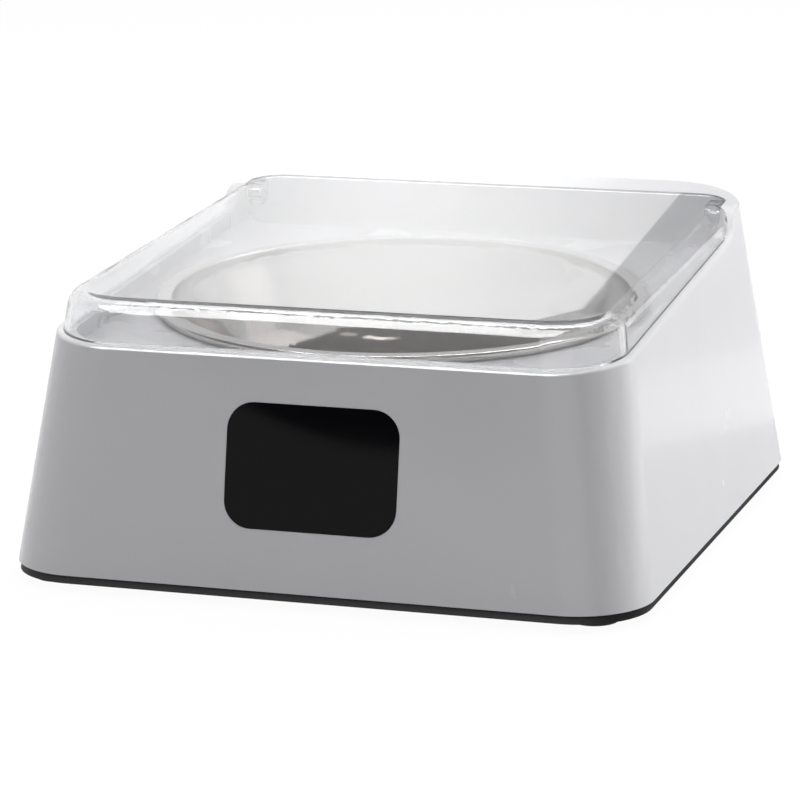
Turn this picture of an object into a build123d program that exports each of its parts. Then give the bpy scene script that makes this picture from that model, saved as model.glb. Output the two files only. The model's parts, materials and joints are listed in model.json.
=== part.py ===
from build123d import *
from math import atan2, cos, hypot, pi, radians, sin, sqrt, tan
import os

# Pet feeder with a clear lid that a motor opens: a tapered housing with a raised rear block,
# a sunk deck with an oval steel bowl, and a hinge whose axis lies just in front of the block.
# Millimetres. The origin is on the ground under the middle of the housing, +X to the right,
# +Y to the rear, +Z up.

# ---------------------------------------------------------------- driving dimensions
BODY_WIDTH = 230.0             # housing across its lower edge
BODY_DEPTH = 256.0             # housing front to rear across its lower edge
SIDE_DRAFT = 7.65              # degrees that each side wall leans inwards
FRONT_DRAFT = 10.8
REAR_DRAFT = 9.1
FRONT_CORNER = 27.0            # radius of the housing's upright corners
REAR_CORNER = 35.0
WALL = 2.2                     # moulded wall of the housing
FOOT_DROP = 2.0                # feet below the base plate
BASE_DROP = 3.0                # base plate below the housing's lower edge
RIM_FRONT_Y = -BODY_DEPTH / 2 + 17.1
RIM_SLOPE = 4.56               # rim and deck rise to the rear
RIM_ROUND = 1.6                # rounded outer edge of the rim

LID_TOP_REAR = 109.0           # height of the lid's top face at its rear edge
RIM_FRONT = LID_TOP_REAR - 25.1            # height of the rim at its front edge
LID_SLOPE = 2.9                # degrees
BLOCK_DEPTH = 36.0             # lid's rear edge in front of the housing's lower rear edge
LID_REAR_Y = BODY_DEPTH / 2 - BLOCK_DEPTH
CLIMB_START = LID_REAR_Y - 34  # where the rim starts to climb to the rear block
CLIMB_END = LID_REAR_Y - 14
LID_WALL = 2.2
LID_INSET = 2.2                # rim left outside the lid
LID_ROUND = 7.0                # round along the lid's upper edge
HINGE_BACK = 12.0              # lid's rear edge behind the hinge axis
HINGE_DROP = 7.0               # hinge axis below the lid's top face at the rear edge
SWING_GAP = 0.4                # round the lid's swinging rear edge
SEAM_GAP = 0.3                 # under the lid's skirt
DRIVE_ROOM = 6.97              # from the side wall's outer face in to the lid's rear part, for crank and link
LID_SIDE_GAP = 1.2             # between the lid's rear part and the hinge cheeks
CHEEK_WALL = 1.5

DECK_DROP = 6.4                # deck floor below the rim
DECK_WALL = 2.0
DECK_LEDGE = 2.6               # flat ledge inside the lid's skirt

BOWL_SIDE_MARGIN = 25.0        # bowl's rim inside the housing's lower edge, seen from above
BOWL_FRONT_MARGIN = 30.8
BOWL_REAR_MARGIN = 73.2
BOWL_LENGTH = BODY_WIDTH - 2 * BOWL_SIDE_MARGIN          # across X, over the rim
BOWL_WIDTH = BODY_DEPTH - BOWL_FRONT_MARGIN - BOWL_REAR_MARGIN
BOWL_CENTRE_Y = (BOWL_FRONT_MARGIN - BOWL_REAR_MARGIN) / 2
BOWL_DEPTH = 40.0
BOWL_STEEL = 0.9
BOWL_RIM_BEAD = 1.5            # radius of the rolled rim
BOWL_RIM_REACH = 5.5           # rim outside the bowl's body
BOWL_BOTTOM_INSET = 16.0       # bowl's bottom is this much smaller than its mouth
BOWL_BOTTOM_ROUND = 26.0
BOWL_CLEARANCE = 1.0           # round the bowl in its well

WINDOW_WIDTH = 61.6
WINDOW_HEIGHT = 43.0
WINDOW_CORNER = 9.5
WINDOW_CENTRE_Z = 47.0
WINDOW_THICK = 1.4
WINDOW_GAP = 0.15

SHAFT_R = 2.0                  # lid shaft and hinge pin
BUSH_WALL = 1.2
RUN_GAP = 0.06                 # radial running clearance
FIT_GAP = 0.03                 # radial gap of fixed pins
FACE_GAP = 0.1                 # between faces of assembled pieces

CRANK_THROW = 9.0
CRANK_THICK = 1.2
CRANK_ANGLE = -65.0            # degrees above the rear horizontal, lid closed
CRANK_PIN_R = 1.2
LINK_THICK = 1.0
LINK_HALF = 2.6

FOOT_R = 9.0
FOOT_SEAT = 1.0
SCREW_R = 1.5
SCREW_HEAD_R = 2.9

# ---------------------------------------------------------------- derived places
SHELL_BOTTOM = FOOT_DROP + BASE_DROP
SPAN = 400.0                   # larger than the whole object, for cutting solids
rim_rise = tan(radians(RIM_SLOPE))
lid_rise = tan(radians(LID_SLOPE))
AXIS_Y = LID_REAR_Y - HINGE_BACK
AXIS_Z = LID_TOP_REAR - HINGE_DROP
LID_SWING_R = hypot(HINGE_BACK, HINGE_DROP)
HINGE_HALF = BODY_WIDTH / 2 - (AXIS_Z - SHELL_BOTTOM) * tan(radians(SIDE_DRAFT)) - DRIVE_ROOM
CAP_CENTRE = HINGE_HALF - HINGE_BACK
BODY_TOP = LID_TOP_REAR + 12.0


def rim_height(y):
    """Height of the rim plane at y."""
    return RIM_FRONT + rim_rise * (y - RIM_FRONT_Y)


def lid_height(y):
    """Height of the lid's top face at y."""
    return LID_TOP_REAR + lid_rise * (y - LID_REAR_Y)


def strip_height(y):
    """Height of the rear block's top face at y: level with the lid at its rear edge."""
    return LID_TOP_REAR + rim_rise * (y - LID_REAR_Y)


def front_wall_y(z):
    return -BODY_DEPTH / 2 + (z - SHELL_BOTTOM) * tan(radians(FRONT_DRAFT))


def rear_wall_y(z):
    return BODY_DEPTH / 2 - (z - SHELL_BOTTOM) * tan(radians(REAR_DRAFT))


def side_wall_x(z):
    return BODY_WIDTH / 2 - (z - SHELL_BOTTOM) * tan(radians(SIDE_DRAFT))


def body_section(inset, z):
    """Rounded outline of the housing at height z, made smaller all round by inset."""
    front, rear = front_wall_y(z) + inset, rear_wall_y(z) - inset
    half = side_wall_x(z) - inset
    outline = Rectangle(2 * half, rear - front)
    for side, radius in ((-1, FRONT_CORNER), (1, REAR_CORNER)):
        corners = [v for v in outline.vertices() if v.Y * side > 0]
        outline = fillet(corners, max(radius - inset, 3.0))
    return Pos(0, (front + rear) / 2, z) * outline


def body_solid(inset, low, high):
    """Tapered block with the housing's outline between two heights."""
    return loft([body_section(inset, low), body_section(inset, high)], ruled=True)


def profile_solid(outline, half_width=SPAN / 2):
    """Solid from a closed outline in the Y-Z plane, extruded both ways along X."""
    face = make_face(outline)
    return extrude(Plane.YZ * face, amount=half_width, both=True)


def top_line(drop=0.0):
    """Side view of the housing's upper surface: rim, climb and rear strip."""
    start, end = -SPAN / 2, SPAN / 2
    rim = Line((start, rim_height(start) - drop), (CLIMB_START, rim_height(CLIMB_START) - drop))
    climb = Spline(
        (CLIMB_START, rim_height(CLIMB_START) - drop), (CLIMB_END, strip_height(CLIMB_END) - drop),
        tangents=[(1, rim_rise), (1, rim_rise)],
    )
    strip = Line((CLIMB_END, strip_height(CLIMB_END) - drop), (end, strip_height(end) - drop))
    return [rim, climb, strip]


def below_top(drop=0.0):
    """Everything under the housing's upper surface, lowered by drop."""
    start, end = -SPAN / 2, SPAN / 2
    close = Polyline((end, strip_height(end) - drop), (end, -SPAN / 4), (start, -SPAN / 4),
                     (start, rim_height(start) - drop))
    return profile_solid(Curve() + top_line(drop) + [close])


def above_top(drop=0.0):
    """Everything over the housing's upper surface, lowered by drop."""
    start, end = -SPAN / 2, SPAN / 2
    close = Polyline((end, strip_height(end) - drop), (end, SPAN), (start, SPAN),
                     (start, rim_height(start) - drop))
    return profile_solid(Curve() + top_line(drop) + [close])


def under_plane(height, slope):
    """Everything under a plane that rises to the rear; height(y) gives it."""
    start, end = -SPAN / 2, SPAN / 2
    outline = Polyline((start, height(start)), (end, height(end)), (end, -SPAN / 2),
                       (start, -SPAN / 2), close=True)
    return profile_solid(outline)


def block(x0, x1, y0, y1, z0, z1):
    """Box between two corners."""
    return Pos((x0 + x1) / 2, (y0 + y1) / 2, (z0 + z1) / 2) * Box(x1 - x0, y1 - y0, z1 - z0)


def rod(x0, x1, y, z, radius):
    """Cylinder along X."""
    return Pos((x0 + x1) / 2, y, z) * Rot(0, 90, 0) * Cylinder(radius, x1 - x0)


def post(x, y, z0, z1, radius):
    """Cylinder along Z."""
    return Pos(x, y, (z0 + z1) / 2) * Cylinder(radius, z1 - z0)


def swing_body(radius, half=HINGE_HALF):
    """Space that the lid's rear edge sweeps: a cylinder on the hinge axis with round ends."""
    middle = rod(-CAP_CENTRE, CAP_CENTRE, AXIS_Y, AXIS_Z, radius)
    ends = [Pos(side * CAP_CENTRE, AXIS_Y, AXIS_Z) * Sphere(radius) for side in (-1, 1)]
    limit = block(-half, half, AXIS_Y - SPAN / 4, AXIS_Y + SPAN / 4, 0, SPAN)
    return (middle + ends) & limit


def wall_plane(y_of_z, z, draft, side):
    """Plane on the front (side -1) or rear (side +1) wall at height z, its normal outwards."""
    lean = radians(draft)
    return Plane(origin=(0, y_of_z(z), z), x_dir=(-side, 0, 0), z_dir=(0, side * cos(lean), sin(lean)))


FRONT_FACE = wall_plane(front_wall_y, WINDOW_CENTRE_Z, FRONT_DRAFT, -1)

# ---------------------------------------------------------------- sensor layout on the front wall
SENSOR_ROW = 4.0               # row of the sensors above the window's centre
EMITTER_HALF_PITCH = 16.0
EMITTER_R = 2.5
RECEIVER_R = 3.5
STATUS_DROP = 10.0
STATUS_R = 1.5
SENSOR_HOLE_GAP = 0.3
SENSOR_BOARD_W = 50.0
SENSOR_BOARD_H = 30.0
SENSOR_BOARD_BACK = 6.0        # board behind the inner face of the wall
BOARD_THICK = 1.6
SENSOR_POST_HALF = 21.0
SENSOR_POST_DROP = 10.0
WINDOW_PROUD = 0.15
LED_LENGTH = 6.6

EMITTER_SPOTS = [(-EMITTER_HALF_PITCH, SENSOR_ROW), (EMITTER_HALF_PITCH, SENSOR_ROW)]
RECEIVER_SPOT = (0.0, SENSOR_ROW)
STATUS_SPOT = (0.0, -STATUS_DROP)
SENSOR_POSTS = [(-SENSOR_POST_HALF, -SENSOR_POST_DROP), (SENSOR_POST_HALF, -SENSOR_POST_DROP)]


def on_front(x, y, z0, z1, radius):
    """Cylinder square to the front wall, between two depths from its outer face."""
    return FRONT_FACE * Pos(x, y, (z0 + z1) / 2) * Cylinder(radius, z1 - z0)


# ---------------------------------------------------------------- rear wall: inlet and switch
REAR_ROW_Z = 25.0
REAR_FACE = wall_plane(rear_wall_y, REAR_ROW_Z, REAR_DRAFT, 1)
INLET_X = BODY_WIDTH / 2 - 45  # along the rear face, which counts X the other way
SWITCH_X = INLET_X - 18
INLET_R = 4.0
INLET_BORE = 3.0
INLET_PIN_R = 1.0
INLET_LENGTH = 12.0
INLET_FLANGE_R = 5.2
SWITCH_TRAVEL = 4.0
SWITCH_KNOB = 4.0
SWITCH_KNOB_H = 3.6
SWITCH_PROUD = 1.2

# ---------------------------------------------------------------- base, screws and feet
BASE_INSET = 1.2
BASE_THICK = 2.4
BASE_FIT = 0.3
BASE_FLOOR = SHELL_BOTTOM + BASE_THICK     # upper face of the base plate
BOSS_R = 4.0
BOSS_TOP = 46.0
BOSS_X = BODY_WIDTH / 2 - 10
BOSS_ROWS = (44 - BODY_DEPTH / 2, 0.0, BODY_DEPTH / 2 - 44)
SCREW_LENGTH = 14.0
FOOT_SPOTS = [(side * (BODY_WIDTH / 2 - inset_x), y) for side in (-1, 1)
              for inset_x, y in ((18, 16 - BODY_DEPTH / 2), (22, BODY_DEPTH / 2 - 20))]
FOOT_HEIGHT = 3.0

# ---------------------------------------------------------------- battery bay
CELL_R = 13.1
CELL_LENGTH = 46.0
CELL_TIP_R = 2.8
CELL_TIP = 1.5
CELL_PITCH = 28.0
CELL_COUNT = 4
CELL_ROW_Y = BODY_DEPTH / 2 - 34
CELL_GAP = 1.4                 # between a cell and the bay's wall
BAY_WALL = 1.8
CONTACT_ROOM = 5.0
DOOR_THICK = 2.0
DOOR_GAP = 0.3
DOOR_LEDGE = 1.2
DOOR_PEG = 1.2                 # hinge pegs beyond the door's sides
DOOR_PEG_R = 0.85
CONTACT_THICK = 0.4

CELL_BOTTOM = BASE_FLOOR + CONTACT_ROOM
CELL_TOP = CELL_BOTTOM + CELL_LENGTH + CELL_TIP
BAY_HALF_X = (CELL_COUNT - 1) * CELL_PITCH / 2 + CELL_R + CELL_GAP
BAY_HALF_Y = CELL_R + CELL_GAP
BAY_TOP = CELL_TOP + 0.6
DOOR_HALF_X = BAY_HALF_X + DOOR_LEDGE - DOOR_GAP
DOOR_Y0 = CELL_ROW_Y - BAY_HALF_Y - DOOR_LEDGE + DOOR_GAP
DOOR_Y1 = CELL_ROW_Y + BAY_HALF_Y + DOOR_LEDGE - DOOR_GAP
DOOR_AXIS_Y = DOOR_Y0 + DOOR_THICK / 2
DOOR_AXIS_Z = FOOT_DROP + DOOR_THICK / 2
CELL_X = [(i - (CELL_COUNT - 1) / 2) * CELL_PITCH for i in range(CELL_COUNT)]

# ---------------------------------------------------------------- drive: gears on axes along X
TOOTH_PRESSURE = 20.0          # degrees
BACKLASH = 0.10
CENTRE_EASE = 0.14             # extra centre distance, in modules
OUTPUT_TEETH, PINION_TEETH, WHEEL_TEETH, MOTOR_TEETH = 48, 12, 44, 11
TRAIN_SCALE = (AXIS_Z - BASE_FLOOR) / 94.6         # gear train fills the height under the hinge
OUTPUT_MODULE = 0.8 * TRAIN_SCALE
MIDDLE_MODULE = 0.6 * TRAIN_SCALE
MOTOR_MODULE = 0.5 * TRAIN_SCALE
OUTPUT_Y = AXIS_Y + 4
OUTPUT_Z = BASE_FLOOR + 53.6 * TRAIN_SCALE
SECOND_DIRECTION = 230.0       # from the output gear to the second reduction gear
FIRST_DIRECTION = 300.0
MOTOR_DIRECTION = 200.0
SHAFT_OUT_R = 2.5
AXLE_R = 1.0
MOTOR_SHAFT_R = 1.0
MOTOR_R = 10.0
MOTOR_FLAT = 15.2
MOTOR_LENGTH = 25.0
PLATE_THICK = 2.4
FRAME_X = HINGE_HALF - 25      # inner face of the gearbox frame
GEAR_ROOM = 19.0               # between frame and cover
PILLAR_R = 3.2
LAYER_GAP = 0.8
PILLARS = [(OUTPUT_Y + dy * TRAIN_SCALE, OUTPUT_Z + dz * TRAIN_SCALE)
           for dy, dz in ((20, -16), (6, -47), (-36, -30), (-28, 0))]

FRAME_IN = FRAME_X + PLATE_THICK
COVER_X = FRAME_IN + GEAR_ROOM


def step(centre, direction, distance):
    """Next axis, at a direction in degrees in the Y-Z plane."""
    angle = radians(direction)
    return (centre[0] + distance * cos(angle), centre[1] + distance * sin(angle))


def centre_distance(module, teeth_a, teeth_b):
    return module * ((teeth_a + teeth_b) / 2 + CENTRE_EASE)


OUTPUT_AXIS = (OUTPUT_Y, OUTPUT_Z)
SECOND_AXIS = step(OUTPUT_AXIS, SECOND_DIRECTION, centre_distance(OUTPUT_MODULE, OUTPUT_TEETH, PINION_TEETH))
FIRST_AXIS = step(SECOND_AXIS, FIRST_DIRECTION, centre_distance(MIDDLE_MODULE, WHEEL_TEETH, PINION_TEETH))
MOTOR_AXIS = step(FIRST_AXIS, MOTOR_DIRECTION, centre_distance(MOTOR_MODULE, WHEEL_TEETH, MOTOR_TEETH))


def meshed_phase(phase, teeth, direction, mate_teeth):
    """Phase of the mate so that its gap meets a tooth: both in direction towards the mate."""
    place = (direction - phase) * teeth / 360.0
    mate_place = 0.5 - place
    return direction + 180.0 - mate_place * 360.0 / mate_teeth


OUTPUT_PHASE = 0.0
SECOND_PHASE = meshed_phase(OUTPUT_PHASE, OUTPUT_TEETH, SECOND_DIRECTION, PINION_TEETH)
FIRST_PHASE = meshed_phase(SECOND_PHASE, WHEEL_TEETH, FIRST_DIRECTION, PINION_TEETH)
MOTOR_PHASE = meshed_phase(FIRST_PHASE, WHEEL_TEETH, MOTOR_DIRECTION, MOTOR_TEETH)


def gear_outline(module, teeth, phase):
    """Closed outline of a spur gear with involute flanks, in its own plane."""
    pressure = radians(TOOTH_PRESSURE)
    pitch_r = module * teeth / 2
    base_r = pitch_r * cos(pressure)
    tip_r = pitch_r + 0.9 * module
    root_r = pitch_r - 1.3 * module
    half_tooth = (pi * module / 2 - BACKLASH) / 2 / pitch_r

    def flank_angle(radius):
        """Half angle of the tooth at a radius, measured at the gear's centre."""
        if radius <= base_r:
            return half_tooth + tan(pressure) - pressure
        roll = sqrt((radius / base_r) ** 2 - 1)
        return half_tooth + (tan(pressure) - pressure) - (roll - atan2(roll, 1))

    start_r = max(base_r, root_r)
    radii = [root_r, start_r, (start_r + tip_r) / 2, tip_r]
    if start_r - root_r < 0.05 * module:
        radii = radii[1:]
    points = []
    for i in range(teeth):
        middle = radians(phase) + i * 2 * pi / teeth
        rising = [(r, middle - flank_angle(r)) for r in radii]
        falling = [(r, middle + flank_angle(r)) for r in reversed(radii)]
        points += [(r * cos(a), r * sin(a)) for r, a in rising + falling]
    return Polyline(*points, close=True)


def gear(module, teeth, phase, axis, x0, x1):
    """Spur gear between x0 and x1 on an axis along X."""
    face = make_face(gear_outline(module, teeth, phase))
    return Pos(x0, axis[0], axis[1]) * extrude(Plane.YZ * face, amount=x1 - x0)


def hull_plate(circles, x0, x1):
    """Plate whose outline wraps round a list of (y, z, radius) circles."""
    sketch = Sketch() + [Pos(y, z) * Circle(r) for y, z, r in circles]
    outline = make_face(make_hull(sketch.edges()))
    return Pos(x0, 0, 0) * extrude(Plane.YZ * outline, amount=x1 - x0)


# x places of the gear layers, from the frame outwards
LAYER_1 = FRAME_IN + LAYER_GAP             # motor pinion and first wheel
LAYER_1_END = LAYER_1 + 3.5
LAYER_2 = LAYER_1_END + LAYER_GAP          # first pinion and second wheel
LAYER_2_END = LAYER_2 + 4.0
LAYER_3 = LAYER_2_END + LAYER_GAP          # second pinion and output gear
LAYER_3_END = LAYER_3 + 5.0

CHEEK_IN = HINGE_HALF + SWING_GAP
CHEEK_OUT = CHEEK_IN + CHEEK_WALL
CRANK_X = CHEEK_OUT + 0.2
CRANK_END = CRANK_X + CRANK_THICK
LINK_X = CRANK_END + FACE_GAP
LINK_END = LINK_X + LINK_THICK
PIN_END = LINK_END + FACE_GAP
LID_HALF = CHEEK_IN - LID_SIDE_GAP
EAR_OUT = LID_HALF - 0.2
EAR_IN = EAR_OUT - 4.8
CRANK_HUB_R = 3.4
BUSH_FLANGE_R = SHAFT_R + RUN_GAP + BUSH_WALL + 0.5
BUSH_FLANGE = 0.8
CRANK_PLACE = (CRANK_THROW * cos(radians(CRANK_ANGLE)), CRANK_THROW * sin(radians(CRANK_ANGLE)))
FLAG_R = 12.0                  # reach of the output crank's sensor flag
FLAG_ANGLE = -10.0
SENSOR_SLOT = 3.4
SENSOR_SLOT_END = 1.0          # slot beyond the flag's tip


# ---------------------------------------------------------------- housing
def lid_opening():
    """Space through the top of the rear block where the lid's rear part sits and swings."""
    reach = swing_body(LID_SWING_R + SWING_GAP, CHEEK_IN)
    front = block(-CHEEK_IN, CHEEK_IN, CLIMB_START + 2, AXIS_Y, AXIS_Z - LID_SWING_R, SPAN)
    return reach + front


def housing_shell():
    outer = body_solid(0, SHELL_BOTTOM, BODY_TOP) & below_top()
    rim_edges = [e for e in outer.edges()
                 if e.center().Z > RIM_FRONT - 2 and abs(e.tangent_at(0.5).Z) < 0.9
                 and e.geom_type != GeomType.LINE and not (abs(e.center().X) < 1 and abs(e.center().Y) < 100)]
    outer = fillet(rim_edges, RIM_ROUND)
    inner = body_solid(WALL, SHELL_BOTTOM - 1, BODY_TOP)
    shell = outer - (inner & below_top(WALL))
    shell -= inner & block(-SPAN, SPAN, -SPAN, CLIMB_START + 2, 0, SPAN)
    shell -= lid_opening()
    # window recess and the holes behind it
    recess = extrude(RectangleRounded(WINDOW_WIDTH + 2 * WINDOW_GAP, WINDOW_HEIGHT + 2 * WINDOW_GAP,
                                      WINDOW_CORNER + WINDOW_GAP), amount=2 * WINDOW_THICK, both=True)
    shell -= FRONT_FACE * Pos(0, 0, WINDOW_THICK + WINDOW_PROUD - FACE_GAP) * recess
    for x, y in EMITTER_SPOTS:
        shell -= on_front(x, y, -2 * WALL, WALL, EMITTER_R + SENSOR_HOLE_GAP)
    shell -= on_front(*RECEIVER_SPOT, -2 * WALL, WALL, RECEIVER_R + SENSOR_HOLE_GAP)
    shell -= on_front(*STATUS_SPOT, -2 * WALL, WALL, STATUS_R + SENSOR_HOLE_GAP)
    for x, y in SENSOR_POSTS:
        shell += on_front(x, y, -WALL - SENSOR_BOARD_BACK, -WALL + 0.4, 3.0)
        shell -= on_front(x, y, -WALL - SENSOR_BOARD_BACK - 1, -WALL - 0.8, SCREW_R * 0.85)
    # rear wall: inlet and switch
    shell -= REAR_FACE * Pos(INLET_X, 0, 0) * Cylinder(INLET_R + 0.1, 4 * WALL)
    slot = Box(SWITCH_KNOB + SWITCH_TRAVEL + 0.8, SWITCH_KNOB_H + 0.8, 4 * WALL)
    shell -= REAR_FACE * Pos(SWITCH_X, 0, 0) * slot
    # screw bosses that merge into the side walls, and shelves under the deck
    bosses = Part() + [post(side * BOSS_X, y, BASE_FLOOR + FACE_GAP, BOSS_TOP, BOSS_R)
                       for side in (-1, 1) for y in BOSS_ROWS]
    shell += bosses & body_solid(WALL / 2, SHELL_BOTTOM, BODY_TOP)
    for side in (-1, 1):
        for y in BOSS_ROWS:
            shell -= post(side * BOSS_X, y, BASE_FLOOR - 1, BASE_FLOOR + SCREW_LENGTH, SCREW_R * 0.85)
    for side in (-1, 1):
        for y in SHELF_ROWS:
            shell += deck_shelf(side, y)
    return shell


SHELF_ROWS = (66 - BODY_DEPTH / 2, CLIMB_START - 20)
SHELF_LENGTH = 12.0
SHELF_THICK = 3.0
SHELF_INSET = 5.3


def shelf_top(y):
    """Height of the housing's shelf under the deck: just below the deck's lowest corner there."""
    return rim_height(y - SHELF_LENGTH / 2) - DECK_DROP - DECK_WALL - 2 * SEAM_GAP


def shelf_x(y):
    return side_wall_x(rim_height(y)) - SHELF_INSET


def deck_shelf(side, y):
    """Shelf on the inside of a side wall, with a screw hole up into the deck."""
    top = shelf_top(y)
    shelf = block(shelf_x(y) - 4, BODY_WIDTH / 2, y - SHELF_LENGTH / 2, y + SHELF_LENGTH / 2,
                  top - SHELF_THICK, top)
    gusset = extrude(Plane.XZ * make_face(Polyline(
        (shelf_x(y) + SCREW_HEAD_R + 0.4, top - SHELF_THICK), (BODY_WIDTH / 2, top - SHELF_THICK),
        (BODY_WIDTH / 2, top - 22), close=True)), amount=1.2, both=True)
    shelf += Pos(0, y, 0) * gusset
    shelf &= body_solid(WALL / 2, SHELL_BOTTOM, BODY_TOP)
    shelf -= post(shelf_x(y), y, top - 30, top + 1, SCREW_R + 0.2)
    return shelf if side > 0 else mirror(shelf, Plane.YZ)


# ---------------------------------------------------------------- bowl and deck
BOWL_RATIO = BOWL_WIDTH / BOWL_LENGTH
DECK_FIT = 0.15
WELL_WALL = 1.8


def deck_height(y):
    return rim_height(y) - DECK_DROP


def bowl_frame():
    """Where the bowl's rim rests: on the deck floor, tilted as the deck is."""
    return Pos(0, BOWL_CENTRE_Y, deck_height(BOWL_CENTRE_Y) + FACE_GAP) * Rot(RIM_SLOPE, 0, 0)


def cup_face(grow, top):
    """Half section of the bowl's outside, made larger by grow, from its axis to its wall."""
    mouth = BOWL_LENGTH / 2 - BOWL_RIM_REACH + grow
    bottom = mouth - BOWL_BOTTOM_INSET
    floor = -BOWL_DEPTH - grow
    points = [(0, top), (mouth, top), (mouth, 0), (bottom, floor), (0, floor)]
    if top == 0:
        points.pop(1)
    face = make_face(Polyline(*points, close=True))
    corner = [v for v in face.vertices() if abs(v.X - bottom) < 0.01 and abs(v.Y - floor) < 0.01]
    face = fillet(corner, BOWL_BOTTOM_ROUND + grow)
    return face


def cup_solid(grow, top=0.0):
    """Oval cup: the bowl's outside made larger by grow, closed at the top."""
    round_cup = revolve(Plane.XZ * cup_face(grow, top), axis=Axis.Z)
    return scale(round_cup, by=(1, BOWL_RATIO, 1))


def bowl():
    mouth = BOWL_LENGTH / 2 - BOWL_RIM_REACH
    edge = BOWL_LENGTH / 2 - BOWL_RIM_BEAD
    turn = BOWL_RIM_BEAD * 2 - BOWL_STEEL
    section = Sketch() + cup_face(0, 0) - cup_face(-BOWL_STEEL, 0.01)
    section += Pos(mouth - BOWL_STEEL / 2, turn / 2) * Rectangle(BOWL_STEEL, turn + BOWL_STEEL)
    section += Pos((mouth - BOWL_STEEL + edge) / 2, turn + BOWL_STEEL / 2) * Rectangle(edge - mouth + BOWL_STEEL,
                                                                                       BOWL_STEEL)
    section += Pos(edge, BOWL_RIM_BEAD) * Circle(BOWL_RIM_BEAD)
    inner_turn = section.vertices().sort_by_distance((mouth - BOWL_STEEL, turn + BOWL_STEEL))[0]
    section = fillet(inner_turn, BOWL_STEEL * 0.8)
    round_bowl = revolve(Plane.XZ * section, axis=Axis.Z)
    return bowl_frame() * scale(round_bowl, by=(1, BOWL_RATIO, 1))


def bowl_deck():
    floor_drop = DECK_DROP + DECK_WALL
    ring = body_solid(WALL + DECK_FIT, RIM_FRONT - 20, BODY_TOP)
    top_cut = under_plane(lambda y: rim_height(y) - SEAM_GAP, RIM_SLOPE)
    base_cut = under_plane(lambda y: rim_height(y) - floor_drop, RIM_SLOPE)
    tray = (ring & top_cut) - base_cut
    tray &= block(-SPAN, SPAN, -SPAN, CLIMB_START + 2 - FACE_GAP, 0, SPAN)
    # sunk floor with slanted borders
    ledge = WALL + LID_WALL + DECK_LEDGE
    sunk = body_solid(ledge, RIM_FRONT - 30, BODY_TOP) - under_plane(deck_height, RIM_SLOPE)
    # trench under the lid's rear edge, and its cheeks that carry the hinge
    trench_r = LID_SWING_R + SWING_GAP
    trench = swing_body(trench_r + DECK_WALL, CHEEK_OUT)
    shelf_part = block(-CHEEK_OUT, CHEEK_OUT, CLIMB_START + 2 - 6, AXIS_Y, AXIS_Z - 16, SPAN)
    shelf_part -= base_cut
    cheeks = Part() + [block(min(s * CHEEK_IN, s * CHEEK_OUT), max(s * CHEEK_IN, s * CHEEK_OUT),
                             CLIMB_START + 2, AXIS_Y + 8, AXIS_Z - 12, SPAN) for s in (-1, 1)]
    rear = (trench + shelf_part + cheeks) & below_top(WALL + FACE_GAP)
    rear &= body_solid(WALL + DECK_FIT, RIM_FRONT - 40, BODY_TOP)
    rear -= swing_body(trench_r, CHEEK_IN)
    rear -= block(-CHEEK_IN, CHEEK_IN, CLIMB_START - 10, AXIS_Y, 0, SPAN) - under_plane(deck_height, RIM_SLOPE)
    deck = tray + rear
    deck -= sunk & block(-SPAN, SPAN, -SPAN, CLIMB_START + 2, 0, SPAN)
    # well for the bowl
    well = bowl_frame() * (cup_solid(BOWL_CLEARANCE + WELL_WALL, top=-0.5))
    well &= under_plane(lambda y: deck_height(y) - 0.5, RIM_SLOPE)
    deck += well
    deck -= bowl_frame() * cup_solid(BOWL_CLEARANCE, top=10)
    # hinge bush seats and screw holes from below
    for s in (-1, 1):
        deck -= rod(min(s * (CHEEK_IN - 1), s * (CHEEK_OUT + 1)), max(s * (CHEEK_IN - 1), s * (CHEEK_OUT + 1)),
                    AXIS_Y, AXIS_Z, SHAFT_R + RUN_GAP + BUSH_WALL + FIT_GAP)
        for y in SHELF_ROWS:
            deck -= post(s * shelf_x(y), y, shelf_top(y) - 2, shelf_top(y) + 6.5, SCREW_R * 0.85)
    return deck


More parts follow.
